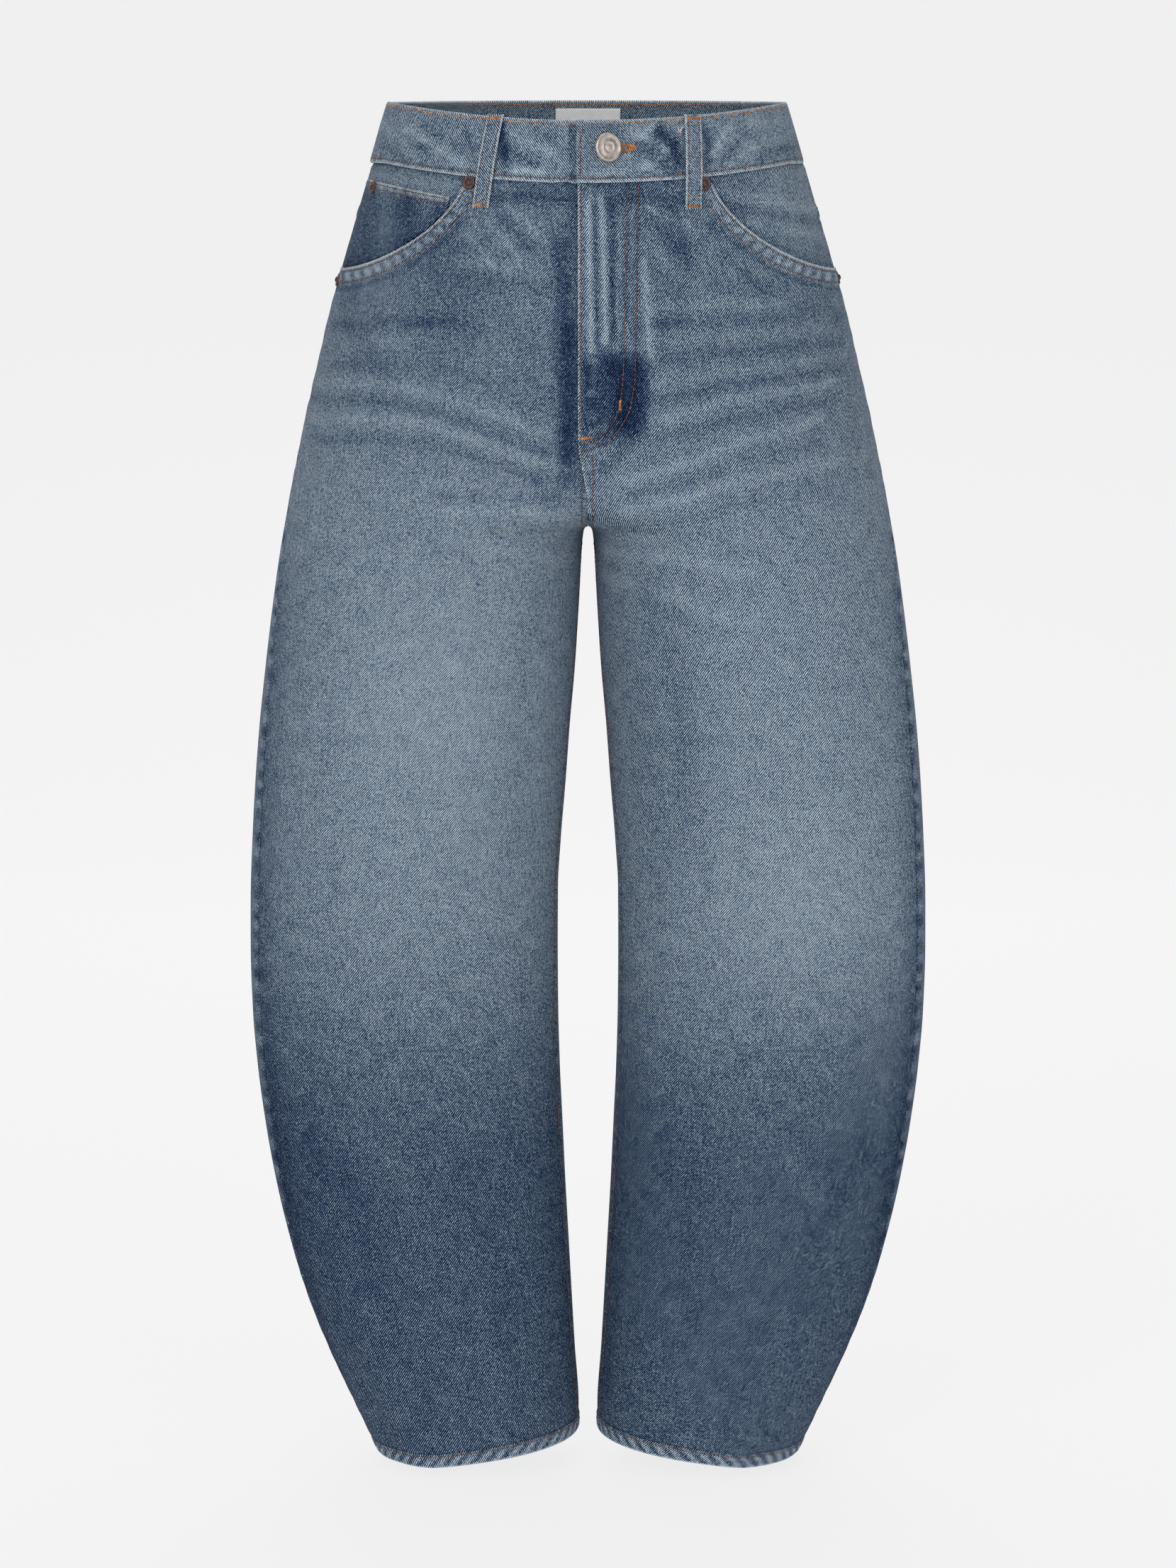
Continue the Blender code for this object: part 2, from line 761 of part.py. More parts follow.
def build():
    for old in list(bpy.data.objects):
        bpy.data.objects.remove(old)

    denim = material("denim", (0.13, 0.19, 0.27), 0.85)
    denim_dark = material("denim_dark", (0.07, 0.11, 0.18), 0.85)
    denim_pale = material("denim_pale", (0.22, 0.29, 0.36), 0.85)
    steel = material("button_metal", (0.42, 0.38, 0.35), 0.35, 1.0)
    copper = material("rivet_metal", (0.16, 0.10, 0.08), 0.4, 1.0)
    woven = material("label_cloth", (0.75, 0.75, 0.74), 0.7)

    for name, side in (("right", RIGHT), ("left", LEFT)):
        make_front(f"front_{name}", side, denim)
        make_back(f"back_{name}", side, denim)
        make_yoke(f"yoke_{name}", side, denim_pale)
        make_facing(f"facing_{name}", side, denim_dark)
        make_back_pocket(f"back_pocket_{name}", side, denim_pale)
        make_hem(f"hem_{name}", side, denim_pale)

    make_waistband(denim_pale)
    make_coin_pocket(denim)

    loops = (
        ((-63.2, -9.6), (-74.0, -74.0), False),
        ((71.6, -9.6), (72.5, -75.0), False),
        ((-104.0, 1.0), (-107.0, -64.0), True),
        ((104.0, 1.0), (107.0, -64.0), True),
        ((0.0, 1.5), (0.0, -63.5), True),
    )
    for number, (top, foot, back) in enumerate(loops, 1):
        make_loop(f"belt_loop_{number}", top, foot, back, denim)

    make_button(steel)
    over_seam = BAND_OUT + 0.3
    rivets = (
        (RIGHT, -82.0, -56.5, over_seam),
        (LEFT, 80.0, -57.2, over_seam),
        (RIGHT, -151.0, -60.5, COIN_OUT + 0.4),
        (RIGHT, -176.3, -126.0, 0.35),
        (LEFT, 176.3, -124.5, 0.35),
    )
    for number, (side, x, level, height) in enumerate(rivets, 1):
        point, normal = surface_point(side, False, x, level)
        make_rivet(f"rivet_{number}", point, normal, height, copper)

    make_label(woven)


build()
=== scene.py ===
import math

import bmesh
import bpy
import numpy as np
from mathutils import Matrix, Vector


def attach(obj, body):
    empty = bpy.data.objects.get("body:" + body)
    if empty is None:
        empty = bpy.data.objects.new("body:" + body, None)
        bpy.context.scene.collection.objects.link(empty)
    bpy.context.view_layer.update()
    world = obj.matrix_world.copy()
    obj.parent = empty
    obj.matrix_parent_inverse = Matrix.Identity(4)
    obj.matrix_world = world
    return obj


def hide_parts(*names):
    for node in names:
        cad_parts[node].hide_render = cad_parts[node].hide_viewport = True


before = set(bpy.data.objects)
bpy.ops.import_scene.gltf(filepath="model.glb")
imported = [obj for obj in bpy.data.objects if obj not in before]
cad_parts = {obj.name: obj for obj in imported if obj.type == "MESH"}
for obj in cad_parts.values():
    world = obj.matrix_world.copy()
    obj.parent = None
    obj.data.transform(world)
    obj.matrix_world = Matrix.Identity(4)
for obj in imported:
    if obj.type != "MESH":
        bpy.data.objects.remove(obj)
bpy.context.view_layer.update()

# Front panels
# The two fronts are washed denim twill, cut from one pattern. Each is sewn to its back at the side and the
# inseam, and the wearer's left one laps over the right one as the fly. Lengths here are millimetres.

MM = 0.001
RIGHT = -1
LEFT = 1
SEAM_GAP = 0.3

# The body surface: half rings about a centre that lies on the centre line at the waist and in the leg below
BODY_RINGS = (
    # level, outer, centre, inner, front, back, fullness
    (30, 131.2, 0, -131.2, -88, 92, 2.15),
    (0, 139.6, 0, -139.6, -93, 97, 2.15),
    (-45, 153.0, 0, -153.0, -98, 106, 2.2),
    (-90, 166.5, 0, -166.5, -104, 116, 2.25),
    (-130, 178.3, 1, -177.0, -108, 122, 2.3),
    (-155, 185.0, 7, -176.0, -110, 125, 2.3),
    (-185, 192.0, 22, -166.0, -111, 127, 2.3),
    (-215, 199.2, 42, -148.0, -111, 126, 2.3),
    (-245, 205.6, 64, -121.0, -109, 123, 2.3),
    (-265, 209.8, 79, -94.0, -107, 120, 2.3),
    (-280, 212.8, 89, -61.0, -105, 116, 2.3),
    (-290, 214.7, 95, -31.0, -104, 113, 2.3),
    (-296, 215.8, 98, -12.0, -103, 111, 2.3),
    (-300, 216.6, 100, 0.6, -102, 109, 2.3),
    (-304, 217.3, 102, 3.2, -102, 108, 2.3),
    (-321, 220.2, 108, 4.8, -100, 103, 2.3),
    (-361, 225.9, 115, 7.1, -96, 96, 2.3),
    (-402, 231.0, 120, 9.4, -91, 90, 2.3),
    (-443, 235.5, 124, 13.0, -86, 83, 2.3),
    (-485, 238.9, 127, 16.1, -82, 76, 2.3),
    (-526, 241.3, 130, 19.5, -78, 71, 2.3),
    (-567, 243.0, 132, 21.6, -74, 68, 2.3),
    (-608, 243.4, 133, 21.8, -70, 67, 2.3),
    (-650, 242.4, 132, 21.5, -67, 69, 2.3),
    (-692, 239.3, 130, 20.4, -65, 71, 2.3),
    (-734, 234.2, 126, 18.5, -63, 73, 2.3),
    (-776, 227.1, 122, 16.6, -62, 74, 2.3),
    (-818, 217.6, 116, 14.3, -62, 74, 2.3),
    (-860, 205.0, 109, 12.0, -62, 73, 2.3),
    (-902, 188.4, 99, 9.6, -64, 71, 2.3),
    (-945, 168.3, 88, 6.8, -66, 69, 2.3),
    (-1000, 142.5, 76, 7.5, -67, 67, 2.3),
)
SEAM_ANGLES = (
    # level, outseam, inseam
    (0, 0, -180),
    (-180, 0, -180),
    (-260, -6, -180),
    (-330, -15, -178),
    (-420, -21, -171),
    (-600, -23, -168),
    (-760, -21, -168),
    (-850, -13, -168),
    (-990, -6, -168),
)
BODY_FOLDS = (
    # side, angle, level, half width in degrees, half height, rise, slant
    (0, 100, -322, 48, 13, -4.0, 0.15),
    (0, 96, -346, 40, 10, 2.0, 0.2),
    (0, 104, -552, 46, 12, -3.2, 0.25),
    (0, 84, -588, 42, 10, -2.6, -0.3),
    (0, 92, -620, 38, 11, 1.8, 0.2),
    (-1, -58, -925, 9, 46, 2.4, 0.0),
    (-1, -40, -930, 8, 44, -1.8, 0.0),
    (1, -70, -905, 10, 40, 1.4, 0.1),
    (0, 120, -900, 12, 50, -2.0, 0.1),
    (0, 60, -870, 14, 40, 1.6, -0.1),
)


class Curve:
    """A smooth curve through two table columns that never overshoots between rows."""

    def __init__(self, rows, column):
        ordered = sorted((row[0], row[column]) for row in rows)
        self.x = np.array([row[0] for row in ordered], dtype=float)
        self.y = np.array([row[1] for row in ordered], dtype=float)
        step = np.diff(self.x)
        slope = np.diff(self.y) / step
        self.m = np.zeros(len(self.x))
        self.m[0] = slope[0]
        self.m[-1] = slope[-1]
        for i in range(1, len(self.x) - 1):
            if slope[i - 1] * slope[i] > 0:
                a = 2 * step[i] + step[i - 1]
                b = step[i] + 2 * step[i - 1]
                self.m[i] = (a + b) / (a / slope[i - 1] + b / slope[i])

    def __call__(self, x):
        x = np.clip(x, self.x[0], self.x[-1])
        i = np.clip(np.searchsorted(self.x, x) - 1, 0, len(self.x) - 2)
        h = self.x[i + 1] - self.x[i]
        t = (x - self.x[i]) / h
        rise = self.y[i + 1] - self.y[i]
        a = self.m[i] * h
        b = self.m[i + 1] * h
        return self.y[i] + t * (a + t * (3 * rise - 2 * a - b + t * (a + b - 2 * rise)))


outer_at, centre_at, inner_at, front_at, back_at, fullness_at = (Curve(BODY_RINGS, i) for i in range(1, 7))
outseam_at = Curve(SEAM_ANGLES, 1)
inseam_at = Curve(SEAM_ANGLES, 2)
grain_at = Curve(((30, 60), (-300, 101), (-443, 124), (-567, 132), (-700, 129), (-860, 109), (-1000, 82)), 1)


def smooth(value, start, end):
    """0 before start, 1 after end and an S curve between them."""
    t = np.clip((value - start) / (end - start), 0.0, 1.0)
    return t * t * (3 - 2 * t)


def bump(value, middle, half):
    """A soft hump of height 1."""
    return np.exp(-(((value - middle) / half) ** 2))


def run_along(points):
    """Length along a row of points, from the first to each one."""
    return np.concatenate([[0.0], np.cumsum(np.linalg.norm(np.diff(points, axis=0), axis=1))])


def ring_points(side, angle, level):
    """Points of the wearer's left half at these angles and levels, with the given side's folds."""
    angle, level = np.broadcast_arrays(np.asarray(angle, dtype=float), np.asarray(level, dtype=float))
    cosine = np.cos(np.radians(angle))
    sine = np.sin(np.radians(angle))
    power = 2 / fullness_at(level)
    middle = centre_at(level)
    front = front_at(level)
    back = back_at(level)
    rise = 0
    for fold_side, fold_angle, fold_level, width, height, top, slant in BODY_FOLDS:
        if fold_side in (0, side):
            off = (angle - fold_angle - slant * (level - fold_level) + 180) % 360 - 180
            rise = rise + top * bump(off, 0, width) * bump(level, fold_level, height)
    width = np.where(cosine >= 0, outer_at(level) - middle, middle - inner_at(level))
    x = middle + width * np.sign(cosine) * np.abs(cosine) ** power + rise * cosine
    y = (front + back) / 2 + (back - front) / 2 * np.sign(sine) * np.abs(sine) ** power + rise * sine
    return np.stack([x, y, level], axis=-1)


class Half:
    """The front or back half of one side, addressed by arc length and level.

    The arc starts at the centre plane, or at the inseam below the crotch, and runs to the side seam.
    A negative length laps over the centre plane.
    """

    STEPS = 260

    def __init__(self, side, back):
        self.side = side
        self.back = back
        near = np.concatenate([np.arange(-280, -291, -1.0), np.arange(-291, -306, -0.25)])
        self.levels = np.concatenate([np.arange(26, -280, -3.0), near, np.arange(-306, -1000, -4.0)])
        middle = centre_at(self.levels)
        inner = inner_at(self.levels)
        share = np.clip(-middle / (middle - inner), -1, 0)
        start = np.degrees(np.arccos(-(np.abs(share) ** (fullness_at(self.levels) / 2))))
        seam = inseam_at(self.levels)
        if back:
            start = np.where(inner < 0, start, 360 + seam)
            past = outseam_at(self.levels) - 30
        else:
            start = np.where(inner < 0, -start, seam)
            past = outseam_at(self.levels) + 30
        self.arc = np.arange(0, 420, 1.0)
        self.angles = np.zeros((len(self.levels), len(self.arc)))
        self.ends = np.zeros(len(self.levels))
        self.grains = np.zeros(len(self.levels))
        for i, level in enumerate(self.levels):
            angles = np.linspace(start[i], past[i], self.STEPS)
            points = ring_points(side, angles, level)
            run = run_along(points)
            self.angles[i] = np.interp(self.arc, run, angles)
            order = slice(None, None, -1) if back else slice(None)
            self.ends[i] = np.interp(outseam_at(level), angles[order], run[order])
            ahead = max(int(np.argmax(points[:, 0] >= grain_at(level))), 1)
            before, after = points[ahead - 1, 0], points[ahead, 0]
            part = (float(grain_at(level)) - before) / (after - before)
            self.grains[i] = run[ahead - 1] + part * (run[ahead] - run[ahead - 1])

    def row(self, level):
        return np.interp(-level, -self.levels, np.arange(len(self.levels)))

    def end(self, level):
        """Arc length to the side seam."""
        return np.interp(-level, -self.levels, self.ends) - SEAM_GAP / 2

    def grain(self, level):
        """Arc length to the straight grain line down the leg's middle."""
        return np.interp(-level, -self.levels, self.grains)

    def angle(self, arc, level):
        spot = self.row(level)
        i = np.clip(spot.astype(int), 0, len(self.levels) - 2)
        part = spot - i
        along = np.clip(np.abs(arc), 0, self.arc[-1] - 0.001)
        j = along.astype(int)
        rest = along - j
        upper = self.angles[i, j] * (1 - rest) + self.angles[i, j + 1] * rest
        lower = self.angles[i + 1, j] * (1 - rest) + self.angles[i + 1, j + 1] * rest
        return upper * (1 - part) + lower * part

    def point(self, arc, level):
        arc, level = np.broadcast_arrays(np.asarray(arc, dtype=float), np.asarray(level, dtype=float))
        points = ring_points(self.side, self.angle(arc, level), level)
        points[..., 0] *= np.where(arc < 0, -self.side, self.side)
        return points

    def normal(self, arc, level):
        arc, level = np.broadcast_arrays(np.asarray(arc, dtype=float), np.asarray(level, dtype=float))
        angle = self.angle(arc, level)
        along = ring_points(self.side, angle + 0.4, level) - ring_points(self.side, angle - 0.4, level)
        up = ring_points(self.side, angle, level + 0.8) - ring_points(self.side, angle, level - 0.8)
        normals = np.cross(along, up)
        normals /= np.linalg.norm(normals, axis=-1, keepdims=True)
        normals[..., 0] *= np.where(arc < 0, -self.side, self.side)
        return normals

    def arc_at_x(self, x, level):
        """Arc length where the surface is this far to the half's own side of the centre plane."""
        x = np.asarray(x, dtype=float)
        level = np.asarray(level, dtype=float)
        low = np.full(x.shape, 0.0)
        high = self.end(level) + 12
        for _ in range(24):
            middle = (low + high) / 2
            short = np.abs(self.point(middle, level)[..., 0]) < np.abs(x)
            low = np.where(short, middle, low)
            high = np.where(short, high, middle)
        return np.where(x * self.side < 0, -1, 1) * (low + high) / 2

    def level_on(self, arc_rule, edge_rule, start):
        """Level of an edge given by a rule on points, for arcs given by a rule on levels."""
        level = start
        for _ in range(7):
            level = edge_rule(self.point(arc_rule(level), level))
        return level


halves = {(side, back): Half(side, back) for side in (RIGHT, LEFT) for back in (False, True)}

BAND_HEIGHT = 43
UNDER_BAND = 2.2
BAND_SIDE_DIP = 1
BAND_FRONT_DIP = 12.5
WAIST_OUTER = 141.0


def band_top(point):
    """Top edge of the waistband: level at the back and dipping to the front."""
    near = np.maximum(1 - (point[..., 0] / WAIST_OUTER) ** 2, 0)
    front = -BAND_SIDE_DIP - BAND_FRONT_DIP * near
    return np.where(point[..., 1] < 0, front, -BAND_SIDE_DIP * (1 - near))


def band_foot(point):
    return band_top(point) - BAND_HEIGHT


# The front pocket's opening is a quarter of a rounded curve about a corner at the side seam
POCKET_X = 178
POCKET_LEVEL = -52
POCKET_WIDTH = 93.5
POCKET_DEPTH = 66
POCKET_ROUND = 1.55


def pocket_reach(point, width=POCKET_WIDTH, depth=POCKET_DEPTH):
    """1 on the pocket's curve, less inside the opening and more on the panel."""
    across = np.maximum(POCKET_X - np.abs(point[..., 0]), 0) / width
    down = np.maximum(POCKET_LEVEL - point[..., 2], 0) / depth
    return (across**POCKET_ROUND + down**POCKET_ROUND) ** (1 / POCKET_ROUND)


def pocket_level(point, width=POCKET_WIDTH, depth=POCKET_DEPTH):
    share = np.clip((POCKET_X - np.abs(point[..., 0])) / width, 0, 1)
    return POCKET_LEVEL - depth * (1 - share**POCKET_ROUND) ** (1 / POCKET_ROUND)


def pocket_distance(point):
    """Distance outside the pocket's edge, measured from its corner."""
    reach = np.maximum(pocket_reach(point), 0.05)
    spoke = np.hypot(POCKET_X - np.abs(point[..., 0]), POCKET_LEVEL - point[..., 2])
    return spoke * (1 - 1 / reach)


def front_top(point):
    inside = np.abs(point[..., 0]) > POCKET_X - POCKET_WIDTH
    waist = band_foot(point) + UNDER_BAND
    return np.where(inside, np.minimum(waist, pocket_level(point)), waist)


def hem_foot(point):
    out = np.abs(point[..., 0])
    return -960.5 - 0.139 * (out - 9) + 0.13 * np.maximum(out - 112, 0) + 0.02 * point[..., 1]


HEM_HEIGHT = 10
UNDER_HEM = 2.0
HEM_SINK = 1.0
BAND_SINK = 1.3
NO_RIM = 60.0


def hem_seam(point):
    return hem_foot(point) + HEM_HEIGHT - UNDER_HEM


def hem_sink(point, level):
    """How far a panel sinks to pass behind the hem."""
    return HEM_SINK * smooth(level - hem_foot(point), 12.5, 9.8)


FLY_EDGE_X = 7.2
FLY_TUCK = 7.0


def fly_inner(side, level):
    """Inner edge of a front panel: the left one laps over, and the right one runs on under it."""
    lap = FLY_EDGE_X * (1 - smooth(-level, 232, 284))
    return SEAM_GAP / 2 - lap if side == LEFT else SEAM_GAP / 2 + lap


# Creases, worn streaks and painted shade on the fronts, as lines of (x, level): half width, tone, rise
FRONT_STREAKS = (
    (((-190, -197), (-149, -195), (-100, -203), (-67, -214), (-25, -230)), 5.0, 0.10, 0.7),
    (((-196, -208), (-150, -207), (-104, -214), (-70, -226), (-30, -242)), 4.5, -0.09, -0.7),
    (((-194, -222), (-157, -220), (-112, -222), (-75, -234), (-38, -247), (-15, -255)), 5.0, 0.09, 0.7),
    (((-190, -236), (-150, -233), (-108, -236), (-70, -247), (-30, -262)), 5.0, -0.08, -0.7),
    (((-176, -157), (-137, -152), (-87, -152)), 6.0, -0.09, -0.6),
    (((-178, -170), (-130, -165), (-84, -168), (-50, -178)), 5.0, 0.04, 0.4),
    (((-180, -184), (-130, -181), (-90, -186), (-55, -197)), 5.0, -0.05, -0.5),
    (((-89, -110), (-64, -112), (-42, -117)), 5.0, 0.07, 0.4),
    (((-92, -121), (-60, -123), (-34, -130)), 5.0, -0.05, -0.4),
    (((-108, -282), (-60, -283), (-17, -286)), 5.0, 0.06, 0.5),
    (((-100, -272), (-60, -272), (-20, -274)), 5.0, -0.05, -0.5),
    (((-150, -262), (-100, -262), (-60, -268)), 6.0, 0.03, 0.3),
    (((-80, -309), (-48, -313), (-14, -322)), 5.0, 0.04, 0.4),
    (((45, -142), (92, -139), (139, -140)), 5.0, 0.08, 0.6),
    (((48, -153), (95, -151), (150, -150)), 5.0, -0.07, -0.5),
    (((52, -166), (100, -160), (165, -158)), 5.0, 0.05, 0.4),
    (((50, -178), (100, -173), (176, -168)), 6.0, -0.08, -0.6),
    (((50, -192), (98, -186), (180, -177)), 4.5, 0.05, 0.4),
    (((48, -205), (96, -196), (178, -187)), 5.0, -0.09, -0.7),
    (((53, -218), (98, -205), (172, -195)), 5.0, 0.10, 0.8),
    (((50, -231), (98, -219), (172, -207)), 5.0, -0.08, -0.7),
    (((28, -261), (69, -249), (106, -234), (164, -220)), 5.0, 0.10, 0.8),
    (((30, -272), (72, -261), (108, -247), (166, -236)), 4.5, -0.06, -0.6),
    (((24, -283), (69, -273), (106, -261), (172, -250)), 5.0, 0.08, 0.6),
    (((18, -298), (66, -290), (110, -277), (168, -266)), 6.0, -0.05, -0.5),
    (((12, -315), (57, -317), (115, -326)), 5.0, 0.06, 0.5),
    (((14, -325), (52, -328), (100, -338)), 4.0, -0.04, -0.4),
    (((12, -333), (49, -339), (82, -354), (119, -364)), 5.0, 0.06, 0.5),
    (((12, -346), (46, -353), (80, -368)), 5.0, -0.04, -0.4),
    # short creases under the waistband
    (((-84, -92), (-76, -100), (-66, -114)), 3.0, 0.12, 0.4),
    (((-70, -82), (-58, -94), (-46, -110)), 3.0, 0.13, 0.4),
    (((-62, -79), (-50, -90), (-38, -103)), 3.0, -0.11, -0.4),
    (((-56, -72), (-44, -82), (-34, -92)), 2.6, 0.12, 0.4),
    (((-30, -74), (-24, -92), (-22, -112)), 4.0, -0.08, -0.4),
    (((40, -72), (54, -80), (68, -86)), 3.0, 0.14, 0.4),
    (((42, -82), (56, -92), (64, -104)), 3.4, -0.12, -0.4),
    (((58, -74), (66, -92), (70, -112)), 5.0, -0.13, -0.4),
    (((46, -100), (60, -118), (82, -132)), 3.4, 0.08, 0.4),
    (((84, -84), (96, -108), (120, -128)), 3.4, -0.07, -0.3),
    # dark shade along the fly, under the waistband and beside the loops
    (((-18, -100), (-17, -180), (-15, -262)), 9.0, -0.20, -1.0),
    (((-42, -170), (-34, -220), (-26, -275)), 14.0, -0.05, -0.6),
    (((16, -68), (45, -66), (72, -68)), 8.0, -0.16, -0.3),
    (((-62, -66), (-40, -66), (-12, -68)), 7.0, -0.17, -0.3),
    (((50, -80), (64, -110), (60, -150)), 12.0, -0.07, -0.4),
    (((-172, -130), (-160, -160), (-150, -190)), 16.0, -0.05, -0.4),
    (((112, -128), (150, -142), (176, -150)), 9.0, -0.05, -0.3),
    # fly shield: long vertical ripples that stop at the dark foot
    (((0, -70), (1, -120), (2, -172)), 2.8, 0.27, 0.45),
    (((9, -66), (11, -120), (12, -165)), 2.8, 0.27, 0.45),
    (((5.5, -72), (6, -120), (7, -168)), 1.9, -0.16, -0.4),
    (((16.5, -72), (17, -120), (17, -165)), 2.6, -0.24, -0.45),
    (((21, -90), (21, -130), (21, -160)), 2.0, 0.08, 0.2),
    (((38, -112), (40, -140), (44, -176)), 3.2, 0.20, 0.45),
    (((47, -118), (50, -150), (54, -176)), 3.0, -0.05, -0.2),
    (((17, -178), (22, -195), (24, -222)), 9.0, -0.14, -0.3),
    (((4, -180), (4, -197)), 1.9, 0.18, 0.3),
    (((36, -182), (36, -208), (28, -236), (12, -252)), 8.0, -0.12, -0.3),
    (((-1, -177), (8, -180)), 2.4, 0.24, 0.4),
    (((-1, -200), (6, -201)), 2.4, 0.26, 0.4),
    (((-1, -215), (6, -216)), 2.4, 0.22, 0.3),
    (((2, -226), (14, -224)), 2.6, 0.18, 0.3),
    # painted shade beside the fly edge on the right front, partly the cloth's own colour, then a broad darker
    # patch on the right hip
    (((-13, -155), (-12, -200), (-12, -245)), 8.0, -0.16, -0.3),
    (((-120, -80), (-100, -110), (-96, -150)), 40.0, -0.09, 0.0),
    # long soft creases of the legs
    (((40, -330), (66, -420), (70, -520)), 16.0, -0.05, -0.8),
    (((28, -360), (44, -470), (52, -560)), 14.0, -0.03, -0.5),
    (((-36, -340), (-50, -430), (-54, -520)), 15.0, -0.03, -0.5),
    (((-216, -640), (-170, -662), (-100, -672)), 9.0, -0.02, -0.5),
    (((-206, -618), (-160, -640), (-96, -650)), 9.0, 0.02, 0.5),
    (((110, -676), (180, -668), (222, -646)), 9.0, -0.02, -0.5),
    (((60, -650), (120, -656), (180, -648)), 9.0, 0.02, 0.5),
    (((-196, -742), (-160, -790), (-148, -850)), 13.0, -0.05, -1.1),
    (((-176, -724), (-138, -752), (-120, -776)), 8.0, 0.04, 0.9),
    (((-92, -760), (-66, -820), (-60, -880)), 14.0, -0.03, -0.7),
    (((196, -745), (166, -800), (150, -850)), 14.0, -0.04, -0.9),
    (((60, -740), (74, -800), (76, -870)), 13.0, -0.03, -0.7),
    (((104, -716), (140, -742), (168, -782)), 9.0, 0.03, 0.8),
    (((-136, -878), (-118, -915), (-112, -950)), 9.0, -0.03, -0.9),
    (((-72, -892), (-66, -925), (-66, -955)), 8.0, 0.03, 0.8),
    (((122, -880), (106, -918), (98, -952)), 9.0, -0.03, -0.9),
)


# A streak's tone keeps to a narrower line than the crease it lies on, and shows more than the crease rises
TONE_NARROW = 0.72
FRONT_TONE = 1.3
FRONT_RISE = 0.5


def streaks(table, x, level):
    """Summed tone and rise of the streaks at these places."""
    tone = np.zeros(x.shape)
    rise = np.zeros(x.shape)
    for line, half, tone_shift, height in table:
        near = np.full(x.shape, 1e9)
        for (x0, z0), (x1, z1) in zip(line, line[1:]):
            dx, dz = x1 - x0, z1 - z0
            t = np.clip(((x - x0) * dx + (level - z0) * dz) / (dx * dx + dz * dz), 0, 1)
            near = np.minimum(near, (x - x0 - t * dx) ** 2 + (level - z0 - t * dz) ** 2)
        tone += tone_shift * np.exp(-near / (TONE_NARROW * half) ** 2)
        rise += height * np.exp(-near / half**2)
    return tone, rise


def roping(level, phase):
    """Uneven pucker marks about every 11 mm along a seam, from -1 to 1."""
    swing = 1.6 * np.sin(level * 0.083 + phase)
    return np.sin(level * 0.57 + swing + phase) * (0.7 + 0.3 * np.sin(level * 0.21))


leg_tone_at = Curve(
    (
        (0, 0.35), (-120, 0.35), (-170, 0.36), (-220, 0.39), (-300, 0.47), (-400, 0.51), (-500, 0.51),
        (-580, 0.49), (-650, 0.38), (-700, 0.27), (-760, 0.18), (-850, 0.17), (-940, 0.18), (-1000, 0.16),
    ),
    1,
)
FLY_STITCHES = (
    ((34.6, -58), (33.8, -115.5), (32.5, -190.8), (29.1, -212.3), (22, -225.1), (12.5, -234.9), (-5.1, -240.8)),
    (
        (27.4, -58), (26.3, -115.5), (24.2, -190.9), (22, -209.4), (18.4, -219.2), (12.5, -227.5),
        (3.2, -233.4), (-5.2, -236.0),
    ),
)


